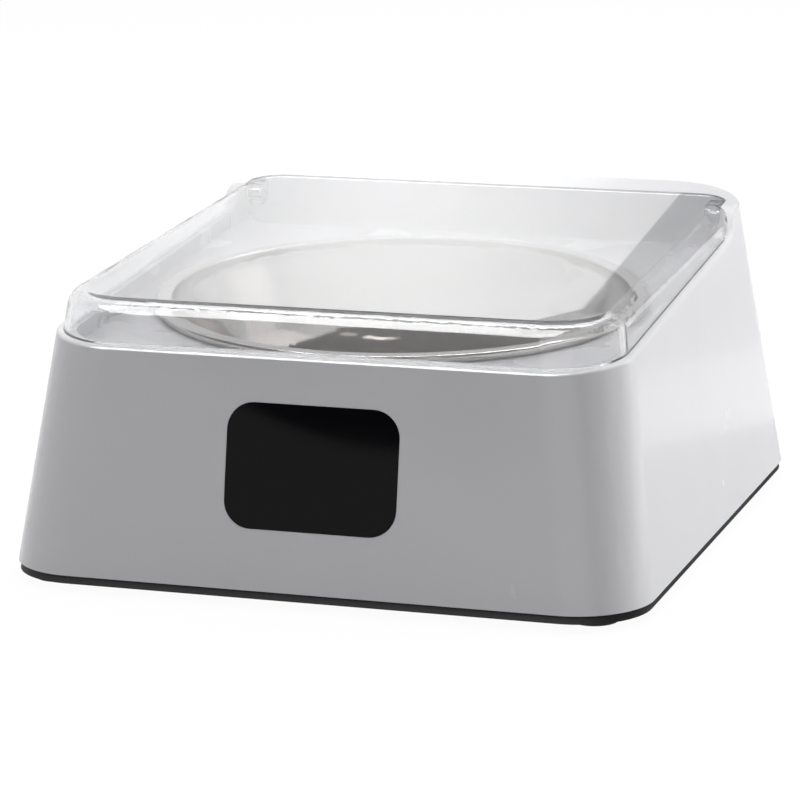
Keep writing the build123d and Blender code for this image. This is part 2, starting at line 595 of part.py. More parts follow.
# ---------------------------------------------------------------- lid
def lid():
    outer = body_solid(LID_INSET, RIM_FRONT - 20, BODY_TOP) & under_plane(lid_height, LID_SLOPE)
    top_edges = [e for e in outer.edges() if e.center().Z > lid_height(-BODY_DEPTH / 2) - 1
                 and abs(e.tangent_at(0.5).Z) < 0.3]
    outer = fillet(top_edges, LID_ROUND)
    inner = body_solid(LID_INSET + LID_WALL, RIM_FRONT - 25, BODY_TOP)
    inner &= under_plane(lambda y: lid_height(y) - LID_WALL, LID_SLOPE)
    inner_edges = [e for e in inner.edges() if e.center().Z > lid_height(-BODY_DEPTH / 2) - LID_WALL - 1
                   and abs(e.tangent_at(0.5).Z) < 0.3]
    inner = fillet(inner_edges, LID_ROUND - LID_WALL)
    cover = outer - inner
    skirt_end = AXIS_Y - HINGE_DROP
    skirted = cover & above_top() & block(-SPAN, SPAN, -SPAN, skirt_end, 0, SPAN)
    plate = cover & block(-LID_HALF, LID_HALF, CLIMB_START + 4, skirt_end, AXIS_Z, SPAN)
    tail = cover & swing_body(LID_SWING_R, LID_HALF) & block(-SPAN, SPAN, skirt_end - 0.01, SPAN, AXIS_Z, SPAN)
    ears = Part()
    for s in (-1, 1):
        x0, x1 = min(s * EAR_IN, s * EAR_OUT), max(s * EAR_IN, s * EAR_OUT)
        web = block(x0, x1, AXIS_Y - 5, AXIS_Y + 4.5, AXIS_Z, lid_height(AXIS_Y) - LID_WALL / 2)
        ears += web + rod(x0, x1, AXIS_Y, AXIS_Z, 4.5)
    body = skirted + plate + tail + ears
    for s in (-1, 1):
        x0, x1 = min(s * (EAR_IN - 1), s * (EAR_OUT + 1)), max(s * (EAR_IN - 1), s * (EAR_OUT + 1))
        body -= rod(x0, x1, AXIS_Y, AXIS_Z, SHAFT_R + FIT_GAP)
        x0, x1 = sorted((s * (EAR_OUT + FACE_GAP), s * (CHEEK_IN + 1)))
        body -= rod(x0, x1, AXIS_Y, AXIS_Z, BUSH_FLANGE_R + SWING_GAP)
    return body



# ---------------------------------------------------------------- front sensor
def sensor_window():
    plate = extrude(RectangleRounded(WINDOW_WIDTH, WINDOW_HEIGHT, WINDOW_CORNER), amount=-WINDOW_THICK)
    return FRONT_FACE * Pos(0, 0, WINDOW_PROUD) * plate


BOARD_FRONT = -WALL - SENSOR_BOARD_BACK        # depth of the sensor board's front face


def sensor_board():
    sheet = Pos(0, 0, BOARD_FRONT - FACE_GAP - BOARD_THICK / 2) * Box(SENSOR_BOARD_W, SENSOR_BOARD_H, BOARD_THICK)
    board = FRONT_FACE * sheet
    for x, y in SENSOR_POSTS:
        board -= on_front(x, y, BOARD_FRONT - 4, BOARD_FRONT + 1, SCREW_R + 0.1)
    return board


def front_led(x, y, radius, length=LED_LENGTH):
    """Round lens on the sensor board that points out through the wall."""
    flange = on_front(x, y, BOARD_FRONT, BOARD_FRONT + 1.0, radius + 0.4)
    stem = on_front(x, y, BOARD_FRONT, BOARD_FRONT + length - radius, radius)
    dome = FRONT_FACE * Pos(x, y, BOARD_FRONT + length - radius) * Sphere(radius)
    dome &= on_front(x, y, BOARD_FRONT, BOARD_FRONT + length + 1, radius + 1)
    return flange + stem + dome


def infrared_emitters():
    return Compound(children=[front_led(x, y, EMITTER_R) for x, y in EMITTER_SPOTS])


def infrared_receiver():
    x, y = RECEIVER_SPOT
    case = FRONT_FACE * Pos(x, y, BOARD_FRONT + 1.9) * Box(8.6, 8.6, 3.8)
    return case + front_led(x, y, RECEIVER_R, LED_LENGTH)


def status_light():
    return front_led(*STATUS_SPOT, STATUS_R)


def screw(x, y, z_head, length, radius=SCREW_R, head_r=SCREW_HEAD_R, head_h=1.8, up=True):
    """Pan screw along Z with its head's underside at z_head; up says which way the shank points."""
    way = 1 if up else -1
    shank = post(x, y, min(z_head, z_head + way * length), max(z_head, z_head + way * length), radius * 0.82)
    head = post(x, y, min(z_head, z_head - way * head_h), max(z_head, z_head - way * head_h), head_r)
    return shank + head


def sensor_screws():
    screws = []
    for x, y in SENSOR_POSTS:
        back = BOARD_FRONT - FACE_GAP - BOARD_THICK
        shank = on_front(x, y, back, BOARD_FRONT + 3.5, SCREW_R * 0.82)
        head = on_front(x, y, back - 1.6, back, SCREW_HEAD_R)
        screws.append(shank + head)
    return Compound(children=screws)


# ---------------------------------------------------------------- base
def base_plate():
    skirt = body_solid(BASE_INSET, FOOT_DROP, SHELL_BOTTOM - FACE_GAP)
    raised = body_solid(WALL + BASE_FIT, FOOT_DROP, BASE_FLOOR)
    plate = skirt + raised
    # battery bay: open below, closed above
    outer = block(-BAY_HALF_X - BAY_WALL, BAY_HALF_X + BAY_WALL, CELL_ROW_Y - BAY_HALF_Y - BAY_WALL,
                  CELL_ROW_Y + BAY_HALF_Y + BAY_WALL, BASE_FLOOR - 0.5, BAY_TOP + BAY_WALL)
    plate += fillet(outer.edges().filter_by(Axis.Z), 3.0)
    plate -= block(-BAY_HALF_X, BAY_HALF_X, CELL_ROW_Y - BAY_HALF_Y, CELL_ROW_Y + BAY_HALF_Y, 0, BAY_TOP)
    # door seat: a step round the opening, hinge sockets at its front and a finger notch behind
    seat = block(-DOOR_HALF_X - DOOR_GAP, DOOR_HALF_X + DOOR_GAP, DOOR_Y0 - DOOR_GAP, DOOR_Y1 + DOOR_GAP,
                 0, FOOT_DROP + DOOR_THICK + DOOR_GAP)
    notch = post(0, DOOR_Y1 + 1, 0, FOOT_DROP + DOOR_THICK + DOOR_GAP, 9.0)
    plate -= seat + notch
    for s in (-1, 1):
        x0, x1 = sorted((s * DOOR_HALF_X, s * (DOOR_HALF_X + DOOR_PEG + 0.2)))
        plate -= rod(x0, x1, DOOR_AXIS_Y, DOOR_AXIS_Z, DOOR_PEG_R + RUN_GAP)
    for x, y in ((CELL_X[0], CELL_ROW_Y), (CELL_X[-1], CELL_ROW_Y + 3)):
        plate -= post(x, y, BAY_TOP - 1, BAY_TOP + BAY_WALL + 1, LEAD_R + LEAD_GAP)
    # screws, feet and standoffs
    for side in (-1, 1):
        for y in BOSS_ROWS:
            plate -= post(side * BOSS_X, y, 0, BASE_FLOOR + 1, SCREW_R + 0.2)
            plate -= post(side * BOSS_X, y, 0, FOOT_DROP + 1.9, SCREW_HEAD_R + 0.3)
    for x, y in FOOT_SPOTS:
        plate -= post(x, y, 0, FOOT_DROP + FOOT_SEAT, FOOT_R + FACE_GAP)
    for x, y in BOARD_POSTS:
        plate += post(x, y, BASE_FLOOR - 0.5, BOARD_Z, 3.0) - post(x, y, BASE_FLOOR + 1.5, BOARD_Z + 1, SCREW_R * 0.85)
    for x, y in GEARBOX_POSTS:
        plate += post(x, y, BASE_FLOOR - 0.5, GEARBOX_FOOT_Z, 4.0)
        plate -= post(x, y, BASE_FLOOR - 1.2, GEARBOX_FOOT_Z + 1, SCREW_R * 0.85)
    return plate


def rubber_feet():
    feet = []
    for x, y in FOOT_SPOTS:
        foot = post(x, y, 0, FOOT_HEIGHT - FACE_GAP, FOOT_R)
        feet.append(chamfer(foot.edges().sort_by(Axis.Z)[0], 0.6))
    return Compound(children=feet)


def base_screws():
    top = FOOT_DROP + 1.9 - 0.05
    return Compound(children=[screw(side * BOSS_X, y, top, BASE_FLOOR + SCREW_LENGTH - 2 - top)
                              for side in (-1, 1) for y in BOSS_ROWS])


def deck_screws():
    screws = []
    for side in (-1, 1):
        for y in SHELF_ROWS:
            under = shelf_top(y) - SHELF_THICK - 0.05
            screws.append(screw(side * shelf_x(y), y, under, SHELF_THICK + 5.5))
    return Compound(children=screws)


def battery_door():
    """Flap in the base: pegs at its front edge, which is rounded on their axis, and grip grooves behind."""
    flap = block(-DOOR_HALF_X, DOOR_HALF_X, DOOR_AXIS_Y, DOOR_Y1, FOOT_DROP, FOOT_DROP + DOOR_THICK)
    flap += rod(-DOOR_HALF_X, DOOR_HALF_X, DOOR_AXIS_Y, DOOR_AXIS_Z, DOOR_THICK / 2)
    flap += rod(-DOOR_HALF_X - DOOR_PEG, DOOR_HALF_X + DOOR_PEG, DOOR_AXIS_Y, DOOR_AXIS_Z, DOOR_PEG_R)
    for i in range(5):
        ridge_y = DOOR_Y1 - 3 - 2.2 * i
        flap -= block(-12, 12, ridge_y - 0.5, ridge_y + 0.5, 0, FOOT_DROP + 0.6)
    return flap


def door_contacts():
    """Leaf springs on the flap's inner face, one strip for each pair of cells."""
    strips = []
    for i in range(0, CELL_COUNT, 2):
        low = FOOT_DROP + DOOR_THICK + 0.05
        strip = block(CELL_X[i] - 6, CELL_X[i + 1] + 6, CELL_ROW_Y - 4, CELL_ROW_Y + 4, low, low + CONTACT_THICK)
        for j in (i, i + 1):
            end = CELL_BOTTOM if j % 2 == 0 else CELL_BOTTOM
            x = CELL_X[j]
            rise = Polyline((x - 7, low), (x - 1.5, end - 0.05), (x + 1.5, end - 0.05), (x + 7, low),
                            (x + 6.4, low), (x + 1.2, end - 0.05 - CONTACT_THICK),
                            (x - 1.2, end - 0.05 - CONTACT_THICK), (x - 6.4, low), close=True)
            leaf = extrude(Plane.XZ * make_face(rise), amount=3, both=True)
            strip += Pos(0, CELL_ROW_Y, 0) * leaf
        strips.append(strip)
    return Compound(children=strips)


def battery_cells():
    cells = []
    for i, x in enumerate(CELL_X):
        up = i % 2 == 0
        z0 = CELL_BOTTOM if up else CELL_BOTTOM + CELL_TIP
        can = post(x, CELL_ROW_Y, z0, z0 + CELL_LENGTH, CELL_R)
        can = chamfer(can.edges(), 0.8)
        tip_z = z0 + CELL_LENGTH if up else z0 - CELL_TIP
        cells.append(can + post(x, CELL_ROW_Y, tip_z, tip_z + CELL_TIP, CELL_TIP_R))
    return Compound(children=cells)


def battery_contacts():
    """Contact strips at the closed end of the bay."""
    pairs = [(CELL_X[0], CELL_X[0]), (CELL_X[1], CELL_X[2]), (CELL_X[3], CELL_X[3])]
    return Compound(children=[block(x0 - 6, x1 + 6, CELL_ROW_Y - 5, CELL_ROW_Y + 5, CELL_TOP + 0.05,
                                    CELL_TOP + 0.05 + CONTACT_THICK) for x0, x1 in pairs])


# ---------------------------------------------------------------- boards and rear inlets
BOARD_Z = 13.0
BOARD_WIDTH = 34.0
BOARD_LENGTH = 68.0
BOARD_X0 = 15 - BODY_WIDTH / 2
BOARD_X1 = BOARD_X0 + BOARD_WIDTH
BOARD_Y1 = CELL_ROW_Y - BAY_HALF_Y - BAY_WALL - 3.7
BOARD_Y0 = BOARD_Y1 - BOARD_LENGTH
BOARD_POSTS = [(x, y) for x in (BOARD_X0 + 4, BOARD_X1 - 4) for y in (BOARD_Y0 + 4, BOARD_Y1 - 4)]


def main_board():
    sheet = block(BOARD_X0, BOARD_X1, BOARD_Y0, BOARD_Y1, BOARD_Z + FACE_GAP, BOARD_Z + FACE_GAP + BOARD_THICK)
    for x, y in BOARD_POSTS:
        sheet -= post(x, y, 0, SPAN / 4, SCREW_R + 0.1)
    return sheet


BOARD_TOP = BOARD_Z + FACE_GAP + BOARD_THICK
SOCKET_ROWS = (BOARD_Y0 + 12, BOARD_Y0 + 22, BOARD_Y0 + 32)
LEAD_R = 1.2
LEAD_BEND = 3.0
LEAD_GAP = 0.4                 # between a lead and a wall that it runs along


def board_components():
    """Controller, motor driver, two capacitors and three lead sockets."""
    middle = (BOARD_X0 + BOARD_X1) / 2
    parts = [
        block(middle - 5, middle + 5, BOARD_Y0 + 26, BOARD_Y0 + 36, BOARD_TOP, BOARD_TOP + 1.6),
        block(middle - 3, middle + 3, BOARD_Y0 + 44, BOARD_Y0 + 52, BOARD_TOP, BOARD_TOP + 1.8),
        post(BOARD_X1 - 6, BOARD_Y0 + 44, BOARD_TOP, BOARD_TOP + 11, 4.0),
        post(BOARD_X0 + 7, BOARD_Y0 + 40, BOARD_TOP, BOARD_TOP + 8, 3.0),
    ]
    for y in SOCKET_ROWS:
        socket = block(BOARD_X1 - 7, BOARD_X1 - 1, y - 3.6, y + 3.6, BOARD_TOP, BOARD_TOP + 6)
        parts.append(socket - block(BOARD_X1 - 6, BOARD_X1, y - 2.8, y + 2.8, BOARD_TOP + 1, BOARD_TOP + 5))
    return Compound(children=parts)


def board_screws():
    return Compound(children=[screw(x, y, BOARD_TOP + 0.05, 5.5, up=False) for x, y in BOARD_POSTS])


def dc_inlet():
    body = Pos(0, 0, 0.6 - INLET_LENGTH / 2) * Cylinder(INLET_R, INLET_LENGTH)
    flange = Pos(0, 0, 0.3) * Cylinder(INLET_FLANGE_R, 0.5)
    nut = Pos(0, 0, -WALL - 1.6) * extrude(RegularPolygon(INLET_FLANGE_R + 1, 6), amount=1.2)
    inlet = body + flange + nut
    inlet -= Pos(0, 0, 0.6 - 4.5) * Cylinder(INLET_BORE, 9.2)
    inlet += Pos(0, 0, -4.4) * Cylinder(INLET_PIN_R, 8.6)
    return REAR_FACE * Pos(INLET_X, 0, 0) * inlet


def switch_body():
    frame_w = SWITCH_KNOB + SWITCH_TRAVEL + 6
    box = Pos(0, 0, -WALL - 3.2) * Box(frame_w, 7.0, 6.2)
    box -= Pos(0, 0, -WALL - 0.6) * Box(SWITCH_KNOB + SWITCH_TRAVEL + 0.6, SWITCH_KNOB_H + 0.6, 3.2)
    return REAR_FACE * Pos(SWITCH_X, 0, 0) * box


def switch_knob():
    stem = Pos(-SWITCH_TRAVEL / 2, 0, (SWITCH_PROUD - WALL - 1.9) / 2) \
        * Box(SWITCH_KNOB, SWITCH_KNOB_H, SWITCH_PROUD + WALL + 1.9)
    for i in (-1, 0, 1):
        stem -= Pos(-SWITCH_TRAVEL / 2 + i * 1.1, 0, SWITCH_PROUD) * Box(0.5, SWITCH_KNOB_H + 1, 0.7)
    return REAR_FACE * Pos(SWITCH_X, 0, 0) * stem


# ---------------------------------------------------------------- leads inside the housing
def lead(points, bend=LEAD_BEND):
    """Round lead through points, with rounded bends."""
    path = FilletPolyline(*points, radius=bend)
    return sweep(Plane(origin=path @ 0, z_dir=path % 0) * Circle(LEAD_R), path=path)


def plug(row):
    """Plug in one of the main board's sockets."""
    gap = FACE_GAP
    return block(BOARD_X1 - 6 + gap, BOARD_X1 + 1.5, row - 2.8 + gap, row + 2.8 - gap,
                 BOARD_TOP + 1 + gap, BOARD_TOP + 5 - gap)


def front_point(x, y, depth):
    place = (FRONT_FACE * Pos(x, y, depth)).position
    return (place.X, place.Y, place.Z)


def rear_point(x, y, depth):
    place = (REAR_FACE * Pos(x, y, depth)).position
    return (place.X, place.Y, place.Z)


LEAD_FLOOR = BASE_FLOOR + LEAD_R + LEAD_GAP
SOCKET_Z = BOARD_TOP + 3
LEAD_X = BOARD_X1 + 12          # where the leads turn away from the sockets
SENSOR_PLUG = (-10.0, -8.0)


def sensor_lead():
    row = SOCKET_ROWS[0]
    back = BOARD_FRONT - 2 * FACE_GAP - BOARD_THICK
    x, y = SENSOR_PLUG
    tip = front_point(x, y - 1, back - 2)
    low = front_point(x, y - 10, back - 2)
    run = [(BOARD_X1 + 1, row, SOCKET_Z), (LEAD_X, row, SOCKET_Z), (LEAD_X, row - 12, LEAD_FLOOR),
           (x, low[1] + 14, LEAD_FLOOR), (x, low[1] + 2, LEAD_FLOOR), low, tip]
    return plug(row) + lead(run) + FRONT_FACE * Pos(x, y, back - 2) * Box(9, 5, 4)


def motor_lead():
    row = SOCKET_ROWS[1]
    y, z = MOTOR_AXIS
    end = FRAME_X - MOTOR_LENGTH + 4 - 3 - 3 * FACE_GAP
    run = [(BOARD_X1 + 1, row, SOCKET_Z), (LEAD_X, row, SOCKET_Z), (LEAD_X + 8, row + 4, LEAD_FLOOR),
           (end - 22, y - 4, LEAD_FLOOR), (end - 8, y, z), (end, y, z)]
    return plug(row) + lead(run)


def battery_lead():
    row = SOCKET_ROWS[2]
    front = CELL_ROW_Y - BAY_HALF_Y - BAY_WALL - LEAD_R - LEAD_GAP
    top = BAY_TOP + BAY_WALL + LEAD_R + LEAD_GAP
    end = CELL_TOP + CONTACT_THICK + 2 * FACE_GAP
    wires = plug(row)
    for i, side in ((0, -1), (CELL_COUNT - 1, 1)):
        y0 = row + 1.5 * side
        x = LEAD_X + 1.5 * side
        over = CELL_ROW_Y - (5 if side > 0 else 0)
        run = [(BOARD_X1 + 1, y0, SOCKET_Z), (x, y0, SOCKET_Z), (x, front, SOCKET_Z), (x, front, top), (x, over, top)]
        if side > 0:
            run.append((CELL_X[i], over, top))
            run.append((CELL_X[i], CELL_ROW_Y + 3, top))
            run.append((CELL_X[i], CELL_ROW_Y + 3, end))
        else:
            run.append((CELL_X[i], over, top))
            run.append((CELL_X[i], over, end))
        wires += lead(run, 2.4)
    return wires


def power_lead():
    start = rear_point(INLET_X, 0, 0.6 - INLET_LENGTH - FACE_GAP)
    turn = rear_point(INLET_X, 0, -INLET_LENGTH - 6)
    x, y = BOARD_X0 + 16, BOARD_Y1 - 6
    return lead([start, turn, (x, turn[1], turn[2]), (x, y, turn[2]), (x, y, BOARD_TOP + FACE_GAP)])


def switch_lead():
    start = rear_point(SWITCH_X + 4, 0, -WALL - 6.3 - FACE_GAP)
    turn = rear_point(SWITCH_X + 4, 0, -WALL - 10)
    x1 = -BAY_HALF_X - BAY_WALL - LEAD_R - 2
    x2, y = BOARD_X1 - 11, BOARD_Y1 - 12
    run = [start, turn, (x1, turn[1], turn[2]), (x1, y, turn[2]), (x2, y, turn[2]), (x2, y, BOARD_TOP + FACE_GAP)]
    return lead(run, 2.0)


# ---------------------------------------------------------------- gearbox and motor
GEARBOX_FOOT_Z = 10.0
GEARBOX_POSTS = [(FRAME_X - 5, OUTPUT_Y - dy * TRAIN_SCALE) for dy in (14, 44)]
PLATE_CIRCLES = [(y, z, PILLAR_R + 1.5) for y, z in PILLARS] + [(OUTPUT_Y, OUTPUT_Z, 9.0)]
FLAG_SPOT = step(OUTPUT_AXIS, FLAG_ANGLE, FLAG_R)
MOTOR_SCREW_SPOTS = [step(MOTOR_AXIS, angle, 7.0) for angle in (60, 240)]


def gearbox_frame():
    plate = hull_plate(PLATE_CIRCLES, FRAME_X, FRAME_IN)
    plate += hull_plate([(*MOTOR_AXIS, MOTOR_R + 1), (PILLARS[2][0], PILLARS[2][1], 4.0), (*FIRST_AXIS, 6.0)],
                        FRAME_X, FRAME_IN)
    for y, z in PILLARS:
        plate += rod(FRAME_IN - 0.1, COVER_X - FACE_GAP, y, z, PILLAR_R)
    plate += rod(FRAME_IN - 0.1, LAYER_3 - LAYER_GAP / 2, *OUTPUT_AXIS, SHAFT_OUT_R + 1.8)
    for x, y in GEARBOX_POSTS:
        foot = block(x - 4.5, FRAME_X + 0.5, y - 5, y + 5, GEARBOX_FOOT_Z + FACE_GAP, GEARBOX_FOOT_Z + 2.4)
        pillar = min(PILLARS, key=lambda place: hypot(place[0] - y, place[1] - GEARBOX_FOOT_Z))
        wall = hull_plate([(y - 4, GEARBOX_FOOT_Z + 1.2, 1.1), (y + 4, GEARBOX_FOOT_Z + 1.2, 1.1),
                           (*pillar, PILLAR_R + 1.0)], FRAME_X, FRAME_IN)
        plate += foot + wall
        plate -= post(x, y, GEARBOX_FOOT_Z - 1, GEARBOX_FOOT_Z + 4, SCREW_R + 0.2)
    plate -= rod(FRAME_X - 1, LAYER_3, *OUTPUT_AXIS, SHAFT_OUT_R + RUN_GAP)
    for y, z in PILLARS:
        plate -= rod(COVER_X - 9, COVER_X + 1, y, z, SCREW_R * 0.85)
    for axis in (SECOND_AXIS, FIRST_AXIS):
        plate -= rod(FRAME_X + 0.6, FRAME_IN + 1, *axis, AXLE_R + FIT_GAP)
    plate -= rod(FRAME_X - 1, FRAME_IN + 1, *MOTOR_AXIS, 3.4)
    for y, z in MOTOR_SCREW_SPOTS:
        plate -= rod(FRAME_X - 1, FRAME_IN + 1, y, z, 1.1)
    return plate


def gearbox_cover():
    plate = hull_plate(PLATE_CIRCLES + [(*FLAG_SPOT, 4.5)], COVER_X, COVER_X + PLATE_THICK)
    plate += rod(COVER_X, CHEEK_OUT - 0.4, OUTPUT_Y, OUTPUT_Z, SHAFT_OUT_R + 2.0)
    plate -= rod(COVER_X - 1, CHEEK_OUT + 1, OUTPUT_Y, OUTPUT_Z, SHAFT_OUT_R + RUN_GAP)
    for y, z in PILLARS:
        plate -= rod(COVER_X - 1, COVER_X + PLATE_THICK + 1, y, z, SCREW_R + 0.15)
    for axis in (SECOND_AXIS, FIRST_AXIS):
        plate -= rod(COVER_X - 1, COVER_X + PLATE_THICK - 0.6, *axis, AXLE_R + FIT_GAP)
    return plate


def side_screw(x_head, y, z, length, head_h=1.6):
    """Screw along X, its head outside x_head and its shank towards the frame."""
    return rod(x_head - length, x_head, y, z, SCREW_R * 0.82) + rod(x_head, x_head + head_h, y, z, SCREW_HEAD_R)


def gearbox_screws():
    return Compound(children=[side_screw(COVER_X + PLATE_THICK + 0.05, y, z, PLATE_THICK + 7.5) for y, z in PILLARS])


def gearbox_mount_screws():
    return Compound(children=[screw(x, y, GEARBOX_FOOT_Z + 2.45, 5.0, up=False) for x, y in GEARBOX_POSTS])


def gear_axles():
    return Compound(children=[rod(FRAME_X + 0.7, COVER_X + PLATE_THICK - 0.7, *axis, AXLE_R)
                              for axis in (SECOND_AXIS, FIRST_AXIS)])


def output_gear():
    wheel = gear(OUTPUT_MODULE, OUTPUT_TEETH, OUTPUT_PHASE, OUTPUT_AXIS, LAYER_3, LAYER_3_END)
    web = OUTPUT_MODULE * OUTPUT_TEETH / 2 - 3.6
    wheel -= rod(LAYER_3 + 3.4, SPAN, *OUTPUT_AXIS, web) - rod(0, SPAN, *OUTPUT_AXIS, 6.0)
    wheel += rod(LAYER_3_END - 2, COVER_X - 0.6, *OUTPUT_AXIS, 5.0)
    for i in range(6):
        y, z = step(OUTPUT_AXIS, 60 * i, (web + 6.0) / 2)
        wheel -= rod(0, SPAN, y, z, 2.8)
    wheel -= rod(0, SPAN, *OUTPUT_AXIS, SHAFT_OUT_R + FIT_GAP)
    return wheel


def compound_gear(module, phase, axis, x0, x1, pinion_module, pinion_phase, pinion_end):
    """Wheel between x0 and x1 with the next stage's pinion beside it, in one moulding."""
    wheel = gear(module, WHEEL_TEETH, phase, axis, x0, x1)
    web = module * WHEEL_TEETH / 2 - 3.0
    hub = pinion_module * PINION_TEETH / 2 + 1.0
    wheel -= rod(x0 - 1, x0 + 1.2, *axis, web) - rod(0, SPAN, *axis, hub)
    pinion = gear(pinion_module, PINION_TEETH, pinion_phase, axis, x1 - 0.1, pinion_end)
    hub_solid = rod(FRAME_IN + 0.3, x0 + 0.1, *axis, AXLE_R + 1.0)
    return (wheel + pinion + hub_solid) - rod(0, SPAN, *axis, AXLE_R + RUN_GAP)


def second_reduction_gear():
    return compound_gear(MIDDLE_MODULE, SECOND_PHASE, SECOND_AXIS, LAYER_2, LAYER_2_END,
                         OUTPUT_MODULE, SECOND_PHASE, COVER_X - 0.4)


def first_reduction_gear():
    return compound_gear(MOTOR_MODULE, FIRST_PHASE, FIRST_AXIS, LAYER_1, LAYER_1_END,
                         MIDDLE_MODULE, FIRST_PHASE, LAYER_2_END + 0.4)


def motor_pinion():
    pinion = gear(MOTOR_MODULE, MOTOR_TEETH, MOTOR_PHASE, MOTOR_AXIS, LAYER_1 - 0.3, LAYER_1_END + 0.3)
    return pinion - rod(0, SPAN, *MOTOR_AXIS, MOTOR_SHAFT_R + FIT_GAP)


def motor_shaft():
    return rod(FRAME_X - MOTOR_LENGTH + 2, LAYER_1_END + 0.3, *MOTOR_AXIS, MOTOR_SHAFT_R)


def motor_can():
    end = FRAME_X - FACE_GAP
    can = rod(end - MOTOR_LENGTH + 4, end, *MOTOR_AXIS, MOTOR_R)
    can &= block(0, SPAN, MOTOR_AXIS[0] - MOTOR_R, MOTOR_AXIS[0] + MOTOR_R,
                 MOTOR_AXIS[1] - MOTOR_FLAT / 2, MOTOR_AXIS[1] + MOTOR_FLAT / 2)
    can += rod(end - 0.1, end + 1.6, *MOTOR_AXIS, 3.1)
    can -= rod(end - MOTOR_LENGTH, end + 3, *MOTOR_AXIS, MOTOR_SHAFT_R + RUN_GAP)
    return can


def motor_end_cap():
    end = FRAME_X - FACE_GAP - MOTOR_LENGTH + 4 - 0.05
    cap = rod(end - 3, end, *MOTOR_AXIS, MOTOR_R - 0.4)
    cap &= block(0, SPAN, MOTOR_AXIS[0] - MOTOR_R, MOTOR_AXIS[0] + MOTOR_R,
                 MOTOR_AXIS[1] - MOTOR_FLAT / 2, MOTOR_AXIS[1] + MOTOR_FLAT / 2)
    return cap - rod(end - 2, end + 1, *MOTOR_AXIS, MOTOR_SHAFT_R + RUN_GAP)


def motor_screws():
    screws = []
    for y, z in MOTOR_SCREW_SPOTS:
        screws.append(rod(FRAME_X + 0.1, FRAME_IN + 0.05, y, z, 1.0)
                      + rod(FRAME_IN + 0.05, FRAME_IN + 0.65, y, z, 1.9))
    return Compound(children=screws)


# ---------------------------------------------------------------- hinge and parallel cranks
def hinge_bushes():
    bushes = []
    for s in (-1, 1):
        inner, face, outer = s * (CHEEK_IN - BUSH_FLANGE), s * (CHEEK_IN - 0.05), s * CHEEK_OUT
        body = rod(min(inner, outer), max(inner, outer), AXIS_Y, AXIS_Z, SHAFT_R + RUN_GAP + BUSH_WALL)
        flange = rod(min(inner, face), max(inner, face), AXIS_Y, AXIS_Z, BUSH_FLANGE_R)
        bushes.append(body + flange - rod(-SPAN / 2, SPAN / 2, AXIS_Y, AXIS_Z, SHAFT_R + RUN_GAP))
    return Compound(children=bushes)


def lid_drive_shaft():
    return rod(EAR_IN, CRANK_END, AXIS_Y, AXIS_Z, SHAFT_R)


def lid_pivot_pin():
    return rod(-CHEEK_OUT - 0.8, -EAR_IN, AXIS_Y, AXIS_Z, SHAFT_R)


def crank(centre, shaft_r, flag=False):
    """Crank plate on a shaft, with a riveted pin at its end."""
    pin = (centre[0] + CRANK_PLACE[0], centre[1] + CRANK_PLACE[1])
    arm = hull_plate([(*centre, CRANK_HUB_R), (*pin, 2.4)], CRANK_X, CRANK_END)
    if flag:
        tip = step(centre, FLAG_ANGLE, FLAG_R - 1.5)
        arm += hull_plate([(*centre, 2.6), (*tip, 1.5)], CRANK_X, CRANK_END)
    arm += rod(CRANK_END - 0.1, PIN_END, *pin, CRANK_PIN_R)
    return arm - rod(0, CRANK_END + 1, *centre, shaft_r + FIT_GAP)


def lid_crank():
    return crank((AXIS_Y, AXIS_Z), SHAFT_R)


def output_crank():
    return crank(OUTPUT_AXIS, SHAFT_OUT_R, flag=True)


def lid_link():
    ends = [(AXIS_Y + CRANK_PLACE[0], AXIS_Z + CRANK_PLACE[1]), (OUTPUT_Y + CRANK_PLACE[0], OUTPUT_Z + CRANK_PLACE[1])]
    bar = hull_plate([(y, z, LINK_HALF) for y, z in ends], LINK_X, LINK_END)
    for y, z in ends:
        bar -= rod(0, SPAN, y, z, CRANK_PIN_R + RUN_GAP)
    return bar


def output_shaft():
    return rod(FRAME_X + 0.5, CRANK_END, *OUTPUT_AXIS, SHAFT_OUT_R)


def position_sensor():
    """Slotted light sensor on the gearbox cover; the output crank's flag stands in its slot, lid closed."""
    x0 = COVER_X + PLATE_THICK + FACE_GAP
    near = (CRANK_X + CRANK_END - SENSOR_SLOT) / 2
    far = near + SENSOR_SLOT
    body = block(x0, far + 1.2, -3, 3, -2.5, SENSOR_SLOT_END + 2.6)
    body -= block(near, far, -4, 4, -4, SENSOR_SLOT_END)
    return Pos(0, *FLAG_SPOT) * Rot(FLAG_ANGLE - 90, 0, 0) * body


